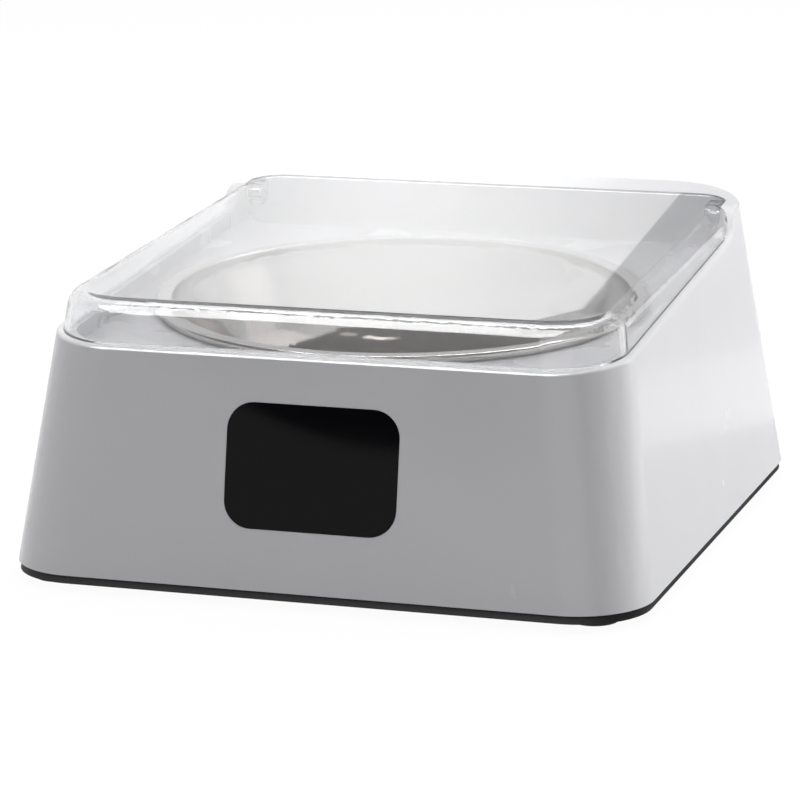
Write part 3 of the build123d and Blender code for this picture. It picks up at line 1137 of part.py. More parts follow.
PIECES = {
    # standing body
    "housing_shell": housing_shell,
    "bowl_deck": bowl_deck,
    "base_plate": base_plate,
    "rubber_feet": rubber_feet,
    "base_screws": base_screws,
    "deck_screws": deck_screws,
    "sensor_window": sensor_window,
    "sensor_board": sensor_board,
    "infrared_emitters": infrared_emitters,
    "infrared_receiver": infrared_receiver,
    "status_light": status_light,
    "sensor_screws": sensor_screws,
    "main_board": main_board,
    "board_components": board_components,
    "board_screws": board_screws,
    "dc_inlet": dc_inlet,
    "switch_body": switch_body,
    "battery_cells": battery_cells,
    "battery_contacts": battery_contacts,
    "sensor_lead": sensor_lead,
    "motor_lead": motor_lead,
    "battery_lead": battery_lead,
    "power_lead": power_lead,
    "switch_lead": switch_lead,
    "door_contacts": door_contacts,
    "gearbox_frame": gearbox_frame,
    "gearbox_cover": gearbox_cover,
    "gearbox_screws": gearbox_screws,
    "gearbox_mount_screws": gearbox_mount_screws,
    "gear_axles": gear_axles,
    "motor_can": motor_can,
    "motor_end_cap": motor_end_cap,
    "motor_screws": motor_screws,
    "hinge_bushes": hinge_bushes,
    "position_sensor": position_sensor,
    # moving bodies
    "bowl": bowl,
    "lid": lid,
    "lid_drive_shaft": lid_drive_shaft,
    "lid_pivot_pin": lid_pivot_pin,
    "lid_crank": lid_crank,
    "lid_link": lid_link,
    "output_gear": output_gear,
    "output_shaft": output_shaft,
    "output_crank": output_crank,
    "second_reduction_gear": second_reduction_gear,
    "first_reduction_gear": first_reduction_gear,
    "motor_pinion": motor_pinion,
    "motor_shaft": motor_shaft,
    "switch_knob": switch_knob,
    "battery_door": battery_door,
}

if __name__ == "__main__":
    os.makedirs("parts", exist_ok=True)
    for name, make in PIECES.items():
        export_step(make(), f"parts/{name}.step")
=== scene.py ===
"""Looks for a low pet feeder with a motor-driven clear lid.

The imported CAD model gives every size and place. This file dresses it: moulded white
housing and deck, clear lid, polished steel bowl, black sensor window, base and feet,
and the pieces of the lid drive inside.
"""

import json
import logging
from dataclasses import dataclass
from enum import Enum
from math import cos, radians, sin

import bpy
from mathutils import Matrix, Vector

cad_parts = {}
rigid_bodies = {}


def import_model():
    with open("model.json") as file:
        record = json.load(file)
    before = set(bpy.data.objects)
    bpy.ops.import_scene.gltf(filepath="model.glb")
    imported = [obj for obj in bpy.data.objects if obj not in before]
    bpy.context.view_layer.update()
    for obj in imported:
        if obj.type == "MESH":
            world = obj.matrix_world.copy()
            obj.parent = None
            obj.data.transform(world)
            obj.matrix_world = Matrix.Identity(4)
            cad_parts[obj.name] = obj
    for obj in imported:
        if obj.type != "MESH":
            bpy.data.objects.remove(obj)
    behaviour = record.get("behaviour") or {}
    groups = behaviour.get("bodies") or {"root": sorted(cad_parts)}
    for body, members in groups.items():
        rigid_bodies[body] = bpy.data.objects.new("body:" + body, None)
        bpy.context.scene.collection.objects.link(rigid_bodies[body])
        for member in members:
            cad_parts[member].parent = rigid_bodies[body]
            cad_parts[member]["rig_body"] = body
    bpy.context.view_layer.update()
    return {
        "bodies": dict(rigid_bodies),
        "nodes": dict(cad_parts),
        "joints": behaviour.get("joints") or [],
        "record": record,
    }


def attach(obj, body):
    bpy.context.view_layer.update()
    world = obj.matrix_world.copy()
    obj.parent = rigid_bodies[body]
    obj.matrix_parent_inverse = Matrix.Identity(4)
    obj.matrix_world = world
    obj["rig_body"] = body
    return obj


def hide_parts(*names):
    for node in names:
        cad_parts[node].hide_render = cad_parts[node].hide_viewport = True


LOG = logging.getLogger("feeder")
Colour = tuple[float, float, float]
Triple = tuple[float, float, float]

SENSOR_WIDTH = 36.0            # millimetres, so that the lens follows from focal_pixels
CLIP_NEAR, CLIP_FAR = 0.05, 60.0
FLOOR_SIZE = 16.0
FLOOR_DROP = 0.0004            # keeps the floor just under the feet
LIGHT_BOUNCES = 24             # light passes many faces inside the clear lid
CLEAR_BOUNCES = 16
CIRCLE_POINTS = 96
EVEN_LIGHT: Colour = (0.985, 0.985, 1.0)
CAMERA, GLOSSY, CLEAR = "Is Camera Ray", "Is Glossy Ray", "Is Transmission Ray"


# ---------------------------------------------------------------- shared effects
class Effect(Enum):
    """Node groups that several finishes share."""

    GRAIN = "moulded_grain"
    HANDLING = "handling_marks"
    DRAWING = "drawing_lines"


class EffectLibrary:
    """Builds each shared node group once and hands it out."""

    def __init__(self) -> None:
        """Starts with no groups built."""
        self._built: dict[Effect, bpy.types.NodeTree] = {}

    def get(self, effect: Effect) -> bpy.types.NodeTree:
        """Returns the group of an effect.

        Args:
            effect: which shared effect is wanted.

        Returns:
            The node group, built on its first use.
        """
        if effect not in self._built:
            makers = {
                Effect.GRAIN: self._grain,
                Effect.HANDLING: self._handling,
                Effect.DRAWING: self._drawing,
            }
            self._built[effect] = makers[effect]()
        return self._built[effect]

    @staticmethod
    def _tree(name: str, inputs: dict[str, float | Colour], outputs: dict[str, str]) -> bpy.types.NodeTree:
        """Makes an empty group with named sockets.

        Args:
            name: the group's name.
            inputs: socket name to default value; a tuple makes a colour socket.
            outputs: socket name to socket type.

        Returns:
            The group with its input and output nodes.
        """
        tree = bpy.data.node_groups.new(name, "ShaderNodeTree")
        tree.interface.new_socket("Vector", in_out="INPUT", socket_type="NodeSocketVector")
        for label, value in inputs.items():
            kind = "NodeSocketColor" if isinstance(value, tuple) else "NodeSocketFloat"
            socket = tree.interface.new_socket(label, in_out="INPUT", socket_type=kind)
            socket.default_value = (*value, 1.0) if isinstance(value, tuple) else value
        for label, kind in outputs.items():
            tree.interface.new_socket(label, in_out="OUTPUT", socket_type=kind)
        tree.nodes.new("NodeGroupInput")
        tree.nodes.new("NodeGroupOutput")
        return tree

    @staticmethod
    def _ends(tree: bpy.types.NodeTree) -> tuple[bpy.types.Node, bpy.types.Node]:
        """Returns the group's input and output nodes."""
        return tree.nodes["Group Input"], tree.nodes["Group Output"]

    def _grain(self) -> bpy.types.NodeTree:
        """Fine moulded texture: a small height and a slow change of tone."""
        tree = self._tree(
            Effect.GRAIN.value,
            {"Scale": 900.0, "Tone": (0.8, 0.8, 0.8), "Second Tone": (0.78, 0.78, 0.8)},
            {"Colour": "NodeSocketColor", "Height": "NodeSocketFloat"},
        )
        start, end = self._ends(tree)
        fine = tree.nodes.new("ShaderNodeTexNoise")
        fine.inputs["Detail"].default_value = 2.0
        slow = tree.nodes.new("ShaderNodeTexNoise")
        slow.inputs["Scale"].default_value = 9.0
        slow.inputs["Detail"].default_value = 3.0
        mix = tree.nodes.new("ShaderNodeMix")
        mix.data_type = "RGBA"
        tree.links.new(start.outputs["Vector"], fine.inputs["Vector"])
        tree.links.new(start.outputs["Vector"], slow.inputs["Vector"])
        tree.links.new(start.outputs["Scale"], fine.inputs["Scale"])
        tree.links.new(slow.outputs["Fac"], mix.inputs["Factor"])
        tree.links.new(start.outputs["Tone"], mix.inputs[6])
        tree.links.new(start.outputs["Second Tone"], mix.inputs[7])
        tree.links.new(mix.outputs[2], end.inputs["Colour"])
        tree.links.new(fine.outputs["Fac"], end.inputs["Height"])
        return tree

    def _handling(self) -> bpy.types.NodeTree:
        """Soft smudges that change the gloss."""
        tree = self._tree(
            Effect.HANDLING.value,
            {"Scale": 24.0, "Clean": 0.2, "Smudged": 0.3},
            {"Roughness": "NodeSocketFloat"},
        )
        start, end = self._ends(tree)
        noise = tree.nodes.new("ShaderNodeTexNoise")
        noise.inputs["Detail"].default_value = 4.0
        noise.inputs["Distortion"].default_value = 0.6
        ramp = tree.nodes.new("ShaderNodeMapRange")
        ramp.inputs["From Min"].default_value = 0.35
        ramp.inputs["From Max"].default_value = 0.75
        tree.links.new(start.outputs["Vector"], noise.inputs["Vector"])
        tree.links.new(start.outputs["Scale"], noise.inputs["Scale"])
        tree.links.new(noise.outputs["Fac"], ramp.inputs["Value"])
        tree.links.new(start.outputs["Clean"], ramp.inputs["To Min"])
        tree.links.new(start.outputs["Smudged"], ramp.inputs["To Max"])
        tree.links.new(ramp.outputs["Result"], end.inputs["Roughness"])
        return tree

    def _drawing(self) -> bpy.types.NodeTree:
        """Faint lines that drawing and polishing leave in steel."""
        tree = self._tree(
            Effect.DRAWING.value,
            {"Scale": 60.0, "Stretch": 12.0},
            {"Height": "NodeSocketFloat"},
        )
        start, end = self._ends(tree)
        stretch = tree.nodes.new("ShaderNodeCombineXYZ")
        stretch.inputs["X"].default_value = 1.0
        stretch.inputs["Y"].default_value = 1.0
        times = tree.nodes.new("ShaderNodeVectorMath")
        times.operation = "MULTIPLY"
        noise = tree.nodes.new("ShaderNodeTexNoise")
        noise.inputs["Detail"].default_value = 5.0
        tree.links.new(start.outputs["Stretch"], stretch.inputs["Z"])
        tree.links.new(start.outputs["Vector"], times.inputs[0])
        tree.links.new(stretch.outputs["Vector"], times.inputs[1])
        tree.links.new(times.outputs["Vector"], noise.inputs["Vector"])
        tree.links.new(start.outputs["Scale"], noise.inputs["Scale"])
        tree.links.new(noise.outputs["Fac"], end.inputs["Height"])
        return tree


# ---------------------------------------------------------------- finishes
@dataclass(frozen=True)
class Finish:
    """One surface finish and the numbers that make it.

    Lengths are metres. second is the tone that the slow variation reaches.
    """

    name: str
    tone: Colour
    second: Colour | None = None
    clean: float = 0.3
    smudged: float = 0.36
    smudge_scale: float = 20.0
    grain_scale: float = 900.0
    grain_height: float = 0.00002
    metallic: float = 0.0
    ior: float = 1.5
    specular: float = 0.5
    coat: float = 0.0
    coat_roughness: float = 0.05
    transmission: float = 0.0
    lines: float = 0.0
    line_scale: float = 60.0

    def material(self, effects: EffectLibrary) -> bpy.types.Material:
        """Builds the material.

        Args:
            effects: the shared node groups.

        Returns:
            The finished material.
        """
        material = bpy.data.materials.new(self.name)
        material.use_nodes = True
        tree = material.node_tree
        tree.nodes.clear()
        output = tree.nodes.new("ShaderNodeOutputMaterial")
        shader = tree.nodes.new("ShaderNodeBsdfPrincipled")
        place = tree.nodes.new("ShaderNodeTexCoord")
        grain = tree.nodes.new("ShaderNodeGroup")
        grain.node_tree = effects.get(Effect.GRAIN)
        grain.inputs["Scale"].default_value = self.grain_scale
        grain.inputs["Tone"].default_value = (*self.tone, 1.0)
        grain.inputs["Second Tone"].default_value = (*(self.second or self.tone), 1.0)
        marks = tree.nodes.new("ShaderNodeGroup")
        marks.node_tree = effects.get(Effect.HANDLING)
        marks.inputs["Scale"].default_value = self.smudge_scale
        marks.inputs["Clean"].default_value = self.clean
        marks.inputs["Smudged"].default_value = self.smudged
        bump = tree.nodes.new("ShaderNodeBump")
        bump.inputs["Strength"].default_value = 1.0
        bump.inputs["Distance"].default_value = self.grain_height
        for group in (grain, marks):
            tree.links.new(place.outputs["Object"], group.inputs["Vector"])
        tree.links.new(grain.outputs["Colour"], shader.inputs["Base Color"])
        tree.links.new(marks.outputs["Roughness"], shader.inputs["Roughness"])
        height = grain.outputs["Height"]
        if self.lines:
            drawn = tree.nodes.new("ShaderNodeGroup")
            drawn.node_tree = effects.get(Effect.DRAWING)
            drawn.inputs["Scale"].default_value = self.line_scale
            tree.links.new(place.outputs["Object"], drawn.inputs["Vector"])
            height = drawn.outputs["Height"]
            bump.inputs["Distance"].default_value = self.lines
        tree.links.new(height, bump.inputs["Height"])
        tree.links.new(bump.outputs["Normal"], shader.inputs["Normal"])
        shader.inputs["Metallic"].default_value = self.metallic
        shader.inputs["IOR"].default_value = self.ior
        shader.inputs["Specular IOR Level"].default_value = self.specular
        shader.inputs["Coat Weight"].default_value = self.coat
        shader.inputs["Coat Roughness"].default_value = self.coat_roughness
        shader.inputs["Transmission Weight"].default_value = self.transmission
        tree.links.new(shader.outputs["BSDF"], output.inputs["Surface"])
        return material


FINISHES: dict[str, Finish] = {
    "white_plastic": Finish("moulded_white", (0.80, 0.80, 0.82), (0.83, 0.83, 0.84), 0.22, 0.28,
                            grain_height=0.000008, coat=0.25),
    # The deck takes the housing's white plastic set a little darker: painted shade for the deck recessed under
    # the lid.
    "deck_plastic": Finish("deck_white_shaded", (0.765, 0.765, 0.785), (0.795, 0.795, 0.805), 0.24, 0.3,
                           grain_height=0.000006, coat=0.12),
    "black_plastic": Finish("base_black", (0.008, 0.008, 0.009), (0.014, 0.014, 0.014), 0.5, 0.6,
                            grain_height=0.00006, specular=0.2),
    "foot_rubber": Finish("foot_rubber", (0.012, 0.012, 0.012), (0.025, 0.024, 0.022), 0.7, 0.85),
    "screw_steel": Finish("zinc_plate", (0.62, 0.62, 0.64), (0.5, 0.5, 0.5), 0.25, 0.4, metallic=1.0),
    "window_black": Finish("window_gloss", (0.002, 0.002, 0.003), (0.003, 0.003, 0.004), 0.03, 0.05,
                           grain_height=0.0, specular=0.12),
    "board_green": Finish("solder_mask", (0.01, 0.13, 0.05), (0.02, 0.18, 0.07), 0.3, 0.4),
    "led_clear": Finish("clear_lens", (0.85, 0.88, 0.95), None, 0.05, 0.08, transmission=0.9),
    "led_dark": Finish("dark_lens", (0.02, 0.012, 0.02), None, 0.08, 0.12),
    "led_green": Finish("green_lens", (0.2, 0.75, 0.3), None, 0.08, 0.12, transmission=0.6),
    "component_black": Finish("component_black", (0.015, 0.015, 0.015), (0.03, 0.03, 0.03), 0.45, 0.55),
    "inlet_black": Finish("inlet_black", (0.012, 0.012, 0.012), (0.02, 0.02, 0.02), 0.3, 0.4),
    "cell_sleeve": Finish("cell_sleeve", (0.10, 0.12, 0.15), (0.13, 0.15, 0.18), 0.25, 0.35),
    "contact_nickel": Finish("contact_nickel", (0.7, 0.68, 0.62), (0.6, 0.58, 0.52), 0.2, 0.35, metallic=1.0),
    "gearbox_plastic": Finish("gearbox_white", (0.62, 0.63, 0.6), (0.66, 0.66, 0.62), 0.4, 0.5),
    "shaft_steel": Finish("ground_steel", (0.6, 0.6, 0.61), (0.5, 0.5, 0.52), 0.15, 0.25, metallic=1.0),
    "motor_steel": Finish("motor_can", (0.55, 0.55, 0.56), (0.48, 0.48, 0.5), 0.25, 0.38, metallic=1.0),
    "bush_plastic": Finish("bush_plastic", (0.75, 0.74, 0.7), (0.78, 0.77, 0.72), 0.4, 0.5),
    "bowl_steel": Finish("polished_steel", (0.56, 0.54, 0.52), (0.60, 0.585, 0.57), 0.09, 0.13, metallic=1.0,
                         grain_height=0.0, lines=0.000002, line_scale=26.0),
    "lid_clear": Finish("clear_cover", (0.97, 0.975, 0.985), None, 0.01, 0.03, grain_height=0.0, ior=1.49,
                        transmission=0.93),
    "crank_plastic": Finish("crank_plastic", (0.66, 0.66, 0.62), (0.7, 0.7, 0.66), 0.4, 0.5),
    "gear_plastic": Finish("gear_plastic", (0.8, 0.78, 0.72), (0.83, 0.81, 0.75), 0.35, 0.45),
    "pinion_brass": Finish("pinion_brass", (0.72, 0.55, 0.26), (0.64, 0.47, 0.2), 0.2, 0.3, metallic=1.0),
    "lead_cover": Finish("lead_cover", (0.02, 0.02, 0.02), (0.05, 0.02, 0.02), 0.5, 0.6),
}


class Dresser:
    """Gives finishes to nodes and pieces, each material built once."""

    def __init__(self, record: dict) -> None:
        """Reads which slot each node takes.

        Args:
            record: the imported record.
        """
        self.effects = EffectLibrary()
        self.slots: dict[str, str] = {part["node"]: part["material_slot"] for part in record["subparts"]}
        self._materials: dict[str, bpy.types.Material] = {}

    def material(self, slot: str) -> bpy.types.Material:
        """Returns the material of a slot, built on its first use."""
        if slot not in self._materials:
            self._materials[slot] = FINISHES[slot].material(self.effects)
        return self._materials[slot]

    def dress(self, piece: bpy.types.Object, slot: str) -> None:
        """Puts a slot's material on a piece.

        Args:
            piece: the object to dress.
            slot: the record's material slot.
        """
        piece.data.materials.clear()
        piece.data.materials.append(self.material(slot))


# ---------------------------------------------------------------- modelling helpers
def deselect() -> None:
    """Leaves nothing selected."""
    if bpy.context.object and bpy.context.object.mode != "OBJECT":
        bpy.ops.object.mode_set(mode="OBJECT")
    bpy.ops.object.select_all(action="DESELECT")


def select(piece: bpy.types.Object) -> None:
    """Makes one object the only selected and active one."""
    deselect()
    piece.select_set(True)
    bpy.context.view_layer.objects.active = piece


@dataclass
class SubAssembly:
    """A group of nodes that is dressed together.

    Fields give the nodes that stay as they are and those whose copy is refined.
    """

    frame: dict
    dresser: Dresser
    refined: tuple[str, ...] = ()
    plain: tuple[str, ...] = ()
    smooth_angle: float = 28.0
    merge_distance: float = 0.000002

    def refine(self, node: str) -> bpy.types.Object:
        """Copies a node, merges its triangles and shades its curves smoothly.

        Args:
            node: name of the CAD node.

        Returns:
            The piece that stands for the node.
        """
        source = self.frame["nodes"][node]
        piece = bpy.data.objects.new(node + "_surface", source.data.copy())
        bpy.context.scene.collection.objects.link(piece)
        select(piece)
        bpy.ops.object.mode_set(mode="EDIT")
        bpy.ops.mesh.select_all(action="SELECT")
        bpy.ops.mesh.customdata_custom_splitnormals_clear()
        bpy.ops.mesh.remove_doubles(threshold=self.merge_distance)
        bpy.ops.object.mode_set(mode="OBJECT")
        bpy.ops.object.shade_smooth_by_angle(angle=radians(self.smooth_angle))
        bpy.ops.object.modifier_add(type="WEIGHTED_NORMAL")
        piece.modifiers[-1].keep_sharp = True
        bpy.ops.object.modifier_apply(modifier=piece.modifiers[-1].name)
        self.dresser.dress(piece, self.dresser.slots[node])
        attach(piece, source["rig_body"])
        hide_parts(node)
        return piece

    def build(self) -> None:
        """Dresses every node of the sub-assembly."""
        for node in self.refined:
            piece = self.refine(node)
            LOG.info("%s: %d faces", piece.name, len(piece.data.polygons))
        for node in self.plain:
            self.dresser.dress(self.frame["nodes"][node], self.dresser.slots[node])


@dataclass
class Housing(SubAssembly):
    """White outer shell, its deck and the black base."""

    refined: tuple[str, ...] = ("housing_shell", "bowl_deck", "base_plate", "rubber_feet")
    plain: tuple[str, ...] = ("base_screws", "deck_screws")


@dataclass
class FeedingBowl(SubAssembly):
    """Oval steel bowl."""

    refined: tuple[str, ...] = ("bowl",)
    smooth_angle: float = 40.0


@dataclass
class ClearLid(SubAssembly):
    """Clear lid with the pieces that turn with it."""

    refined: tuple[str, ...] = ("lid",)
    plain: tuple[str, ...] = ("lid_drive_shaft", "lid_pivot_pin", "lid_crank", "lid_link", "hinge_bushes")


@dataclass
class SensorFront(SubAssembly):
    """Window in the front wall and the board behind it."""

    refined: tuple[str, ...] = ("sensor_window",)
    plain: tuple[str, ...] = ("sensor_board", "infrared_emitters", "infrared_receiver", "status_light",
                              "sensor_screws", "sensor_lead")


@dataclass
class PowerEntry(SubAssembly):
    """Inlet, switch, battery bay and main board."""

    refined: tuple[str, ...] = ("dc_inlet", "switch_knob", "battery_door")
    plain: tuple[str, ...] = ("switch_body", "door_contacts", "battery_cells", "battery_contacts", "main_board",
                              "board_components", "board_screws", "battery_lead", "power_lead", "switch_lead")


@dataclass
class LidDrive(SubAssembly):
    """Motor, gearbox and output crank."""

    plain: tuple[str, ...] = ("gearbox_frame", "gearbox_cover", "gearbox_screws", "gearbox_mount_screws",
                              "gear_axles", "motor_can", "motor_end_cap", "motor_screws", "motor_pinion",
                              "motor_shaft", "first_reduction_gear", "second_reduction_gear", "output_gear",
                              "output_shaft", "output_crank", "position_sensor", "motor_lead")


# ---------------------------------------------------------------- studio
@dataclass
class Lamp:
    """One soft light: its place, what it faces, its size and its power.

    through says whether rays that pass a clear piece see it.
    """

    name: str
    place: Triple
    target: Triple
    width: float
    height: float
    power: float
    through: bool = True

    def build(self) -> bpy.types.Object:
        """Makes the area light, which no reflection shows.

        Returns:
            The lamp.
        """
        data = bpy.data.lights.new(self.name, "AREA")
        data.shape = "RECTANGLE"
        data.size = self.width
        data.size_y = self.height
        data.energy = self.power
        lamp = bpy.data.objects.new(self.name, data)
        bpy.context.scene.collection.objects.link(lamp)
        lamp.location = self.place
        lamp.rotation_euler = (Vector(self.target) - Vector(self.place)).to_track_quat("-Z", "Y").to_euler()
        lamp.visible_glossy = False
        lamp.visible_transmission = self.through
        return lamp


@dataclass
class Card:
    """A flat panel that only reflections and clear pieces see.

    mirrored shows it in reflections and through shows it to rays that pass a clear
    piece. rim_share is the share of its glow that is left at its side edges.
    """

    name: str
    place: Triple
    turn: Triple
    width: float
    height: float
    tone: Colour
    strength: float = 1.0
    mirrored: bool = True
    through: bool = True
    round: bool = False
    rim_share: float = 1.0

    def build(self) -> bpy.types.Object:
        """Makes the panel, turned in degrees about X, Y and Z.

        Returns:
            The panel.
        """
        deselect()
        turn = [radians(angle) for angle in self.turn]
        if self.round:
            bpy.ops.mesh.primitive_circle_add(vertices=CIRCLE_POINTS, radius=0.5, fill_type="NGON",
                                              location=self.place, rotation=turn)
        else:
            bpy.ops.mesh.primitive_plane_add(size=1.0, location=self.place, rotation=turn)
        card = bpy.context.object
        card.name = self.name
        card.scale = (self.width, self.height, 1.0)
        material = bpy.data.materials.new(self.name)
        material.use_nodes = True
        tree = material.node_tree
        tree.nodes.clear()
        output = tree.nodes.new("ShaderNodeOutputMaterial")
        glow = tree.nodes.new("ShaderNodeEmission")
        glow.inputs["Color"].default_value = (*self.tone, 1.0)
        glow.inputs["Strength"].default_value = self.strength
        if self.rim_share < 1.0:
            self._fade(tree, glow)
        tree.links.new(glow.outputs[0], output.inputs["Surface"])
        card.data.materials.append(material)
        card.visible_camera = False
        card.visible_diffuse = False
        card.visible_shadow = False
        card.visible_glossy = self.mirrored
        card.visible_transmission = self.through
        return card

    def _fade(self, tree: bpy.types.NodeTree, glow: bpy.types.Node) -> None:
        """Lets the glow fall smoothly from the middle line to the left and right edges.

        Args:
            tree: the card's node tree.
            glow: the emission node to drive.
        """
        place = tree.nodes.new("ShaderNodeTexCoord")
        parts = tree.nodes.new("ShaderNodeSeparateXYZ")
        offset = tree.nodes.new("ShaderNodeMath")
        offset.operation = "SUBTRACT"
        offset.inputs[1].default_value = 0.5
        away = tree.nodes.new("ShaderNodeMath")
        away.operation = "ABSOLUTE"
        fall = tree.nodes.new("ShaderNodeMapRange")
        fall.interpolation_type = "SMOOTHSTEP"
        fall.inputs["From Min"].default_value = 0.0
        fall.inputs["From Max"].default_value = 0.5
        fall.inputs["To Min"].default_value = self.strength
        fall.inputs["To Max"].default_value = self.strength * self.rim_share
        tree.links.new(place.outputs["UV"], parts.inputs[0])
        tree.links.new(parts.outputs["X"], offset.inputs[0])
        tree.links.new(offset.outputs[0], away.inputs[0])
        tree.links.new(away.outputs[0], fall.inputs["Value"])
        tree.links.new(fall.outputs["Result"], glow.inputs["Strength"])


def ray_switch(tree: bpy.types.NodeTree, kinds: tuple[str, ...]) -> bpy.types.NodeSocket:
    """Builds a value that is 1 for rays of the given kinds and 0 for others.

    Args:
        tree: the node tree to build in.
        kinds: outputs of the light path node, two or more.

    Returns:
        The socket that carries the value.
    """
    path = tree.nodes.new("ShaderNodeLightPath")
    value = path.outputs[kinds[0]]
    for kind in kinds[1:]:
        most = tree.nodes.new("ShaderNodeMath")
        most.operation = "MAXIMUM"
        tree.links.new(value, most.inputs[0])
        tree.links.new(path.outputs[kind], most.inputs[1])
        value = most.outputs[0]
    return value


@dataclass
class Studio:
    """Floor, background, lamps and camera."""

    camera_place: Triple = (0.4086, -1.2636, 0.3565)
    yaw: float = 18.2295
    pitch: float = 13.2398
    roll: float = -0.6391
    focal_pixels: float = 3702.63
    picture: int = 800
    ambient: float = 0.36
    floor_paint: float = 0.42
    floor_glow: float = 1.085
    floor_share: float = 0.88
    lamps: tuple[Lamp, ...] = (
        Lamp("side_softbox", (1.4, 1.0, 0.45), (0.0, 0.0, 0.05), 0.7, 0.7, 16.5, through=False),
        Lamp("top_softbox", (-0.1, 0.5, 1.6), (0.0, 0.0, 0.05), 1.2, 0.9, 23.5),
    )
    cards: tuple[Card, ...] = (
        Card("window_card", (-0.63, -2.2, 0.736), (90.0, 0.0, 0.0), 0.86, 0.86, (0.1, 0.1, 0.11), through=False,
             round=True),
        Card("front_card", (-1.6, -1.05, 1.5), (0.0, 0.0, 0.0), 5.8, 3.1, (0.11, 0.096, 0.087), mirrored=False),
        Card("bowl_card", (2.95, 0.2, 1.5), (0.0, 0.0, 0.0), 3.1, 2.0, (1.0, 0.98, 0.96), 1.48, mirrored=False),
        Card("spot_card", (0.33, -1.05, 1.49), (0.0, 0.0, 0.0), 0.42, 0.22, (1.0, 0.96, 0.9), 2.8,
             mirrored=False, round=True),
        Card("second_spot_card", (0.86, -1.14, 1.49), (0.0, 0.0, 0.0), 0.28, 0.3, (1.0, 0.96, 0.9), 0.95,
             mirrored=False, round=True),
        Card("lid_strip", (-0.45, -1.6, 1.62), (0.0, 0.0, 0.0), 2.1, 2.3, (1.0, 1.0, 1.0), 14.0, through=False,
             rim_share=0.95),
        Card("rear_card", (-0.68, 2.0, 1.25), (90.0, 0.0, 0.0), 0.7, 2.5, (1.0, 1.0, 1.0), 1.57, through=False,
             rim_share=0.52),
        Card("plate_shade", (0.478, 1.98, 1.480), (90.0, -39.0, 0.0), 2.4, 2.4, (0.1, 0.1, 0.11),
             through=False),
        Card("side_strip", (2.1, 2.0, 1.25), (90.0, 0.0, 0.0), 1.0, 2.5, (1.0, 1.0, 1.0), 2.2, through=False),
        Card("side_shade", (2.0, -0.45, 1.0), (0.0, 90.0, 0.0), 2.0, 4.0, (0.3, 0.3, 0.31), through=False),
        # Two dim panels on the floor beside the body that only reflections see: painted shade in the right
        # face's reflection of the floor near the body.
        Card("side_floor_shade", (0.16, 0.05, 0.002), (0.0, 0.0, 0.0), 0.1, 0.3, (0.6, 0.6, 0.61), through=False),
        Card("far_floor_shade", (0.33, 0.65, 0.002), (0.0, 0.0, 0.0), 0.3, 0.5, (0.7, 0.7, 0.71), through=False),
    )

    def camera(self) -> None:
        """Places the camera."""
        data = bpy.data.cameras.new("camera")
        data.sensor_width = SENSOR_WIDTH
        data.lens = self.focal_pixels / self.picture * data.sensor_width
        data.clip_start, data.clip_end = CLIP_NEAR, CLIP_FAR
        yaw, pitch, roll = radians(self.yaw), radians(self.pitch), radians(self.roll)
        ahead = Vector((-sin(yaw) * cos(pitch), cos(yaw) * cos(pitch), -sin(pitch)))
        right = Vector((cos(yaw), sin(yaw), 0.0))
        up = right.cross(ahead)
        across = cos(roll) * right + sin(roll) * up
        above = -sin(roll) * right + cos(roll) * up
        turn = Matrix((across, above, -ahead)).transposed()
        camera = bpy.data.objects.new("camera", data)
        bpy.context.scene.collection.objects.link(camera)
        camera.matrix_world = Matrix.Translation(self.camera_place) @ turn.to_4x4()
        bpy.context.scene.camera = camera

    def world(self) -> None:
        """White behind the object and in its reflections, a lower even light elsewhere."""
        world = bpy.data.worlds.new("studio")
        bpy.context.scene.world = world
        world.use_nodes = True
        tree = world.node_tree
        tree.nodes.clear()
        output = tree.nodes.new("ShaderNodeOutputWorld")
        seen = tree.nodes.new("ShaderNodeBackground")
        seen.inputs["Color"].default_value = (1.0, 1.0, 1.0, 1.0)
        even = tree.nodes.new("ShaderNodeBackground")
        even.inputs["Color"].default_value = (*EVEN_LIGHT, 1.0)
        even.inputs["Strength"].default_value = self.ambient
        mix = tree.nodes.new("ShaderNodeMixShader")
        tree.links.new(ray_switch(tree, (CAMERA, GLOSSY, CLEAR)), mix.inputs["Fac"])
        tree.links.new(even.outputs[0], mix.inputs[1])
        tree.links.new(seen.outputs[0], mix.inputs[2])
        tree.links.new(mix.outputs[0], output.inputs["Surface"])

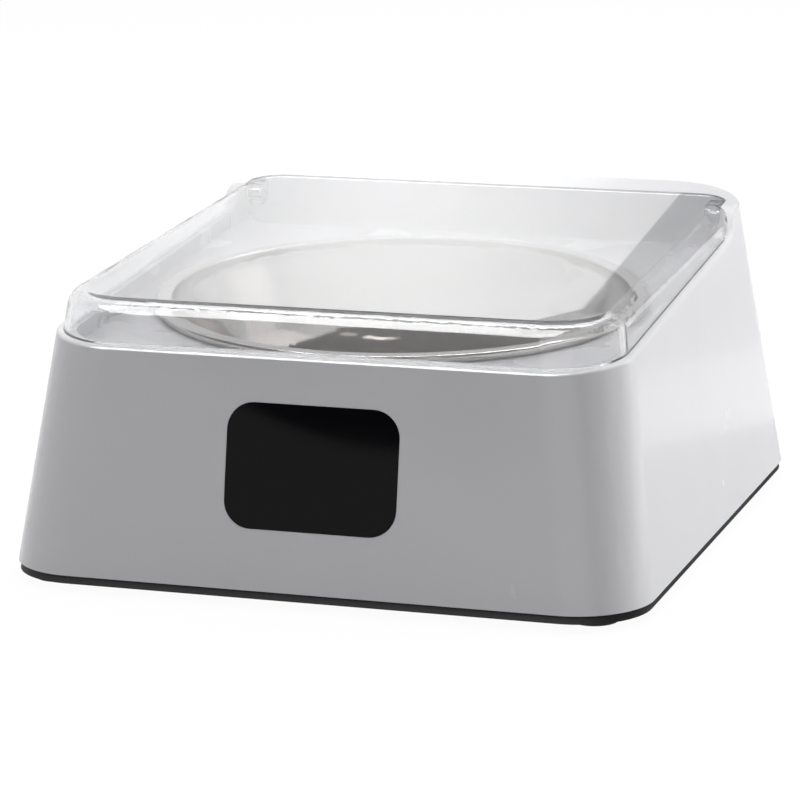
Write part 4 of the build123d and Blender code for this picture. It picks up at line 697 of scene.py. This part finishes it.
    def floor(self) -> None:
        """Pale floor that stays near white and keeps a soft shadow."""
        deselect()
        bpy.ops.mesh.primitive_plane_add(size=FLOOR_SIZE, location=(0.0, 0.0, -FLOOR_DROP))
        floor = bpy.context.object
        floor.name = "studio_floor"
        material = bpy.data.materials.new("floor_white")
        material.use_nodes = True
        tree = material.node_tree
        tree.nodes.clear()
        output = tree.nodes.new("ShaderNodeOutputMaterial")
        paint = tree.nodes.new("ShaderNodeBsdfDiffuse")
        paint.inputs["Color"].default_value = (self.floor_paint, self.floor_paint, self.floor_paint * 1.03, 1.0)
        glow = tree.nodes.new("ShaderNodeEmission")
        glow.inputs["Strength"].default_value = self.floor_glow
        share = tree.nodes.new("ShaderNodeMath")
        share.operation = "MULTIPLY"
        share.inputs[1].default_value = self.floor_share
        mix = tree.nodes.new("ShaderNodeMixShader")
        tree.links.new(ray_switch(tree, (CAMERA, GLOSSY, CLEAR)), share.inputs[0])
        tree.links.new(share.outputs[0], mix.inputs["Fac"])
        tree.links.new(paint.outputs[0], mix.inputs[1])
        tree.links.new(glow.outputs[0], mix.inputs[2])
        tree.links.new(mix.outputs[0], output.inputs["Surface"])
        floor.data.materials.append(material)

    def build(self) -> None:
        """Builds the whole studio."""
        self.camera()
        self.world()
        self.floor()
        for lamp in self.lamps:
            lamp.build()
        for card in self.cards:
            card.build()
        scene = bpy.context.scene
        scene.view_settings.view_transform = "Standard"
        scene.cycles.max_bounces = LIGHT_BOUNCES
        scene.cycles.transmission_bounces = LIGHT_BOUNCES
        scene.cycles.transparent_max_bounces = CLEAR_BOUNCES


def main() -> None:
    """Loads the frame and dresses it, sub-assembly by sub-assembly."""
    logging.basicConfig(level=logging.INFO, format="%(name)s: %(message)s")
    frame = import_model()
    deselect()
    Studio().build()
    dresser = Dresser(frame["record"])
    for group in (Housing, FeedingBowl, ClearLid, SensorFront, PowerEntry, LidDrive):
        assembly = group(frame, dresser)
        assembly.build()
        LOG.info("%s done", type(assembly).__name__)


if __name__ == "__main__":
    main()
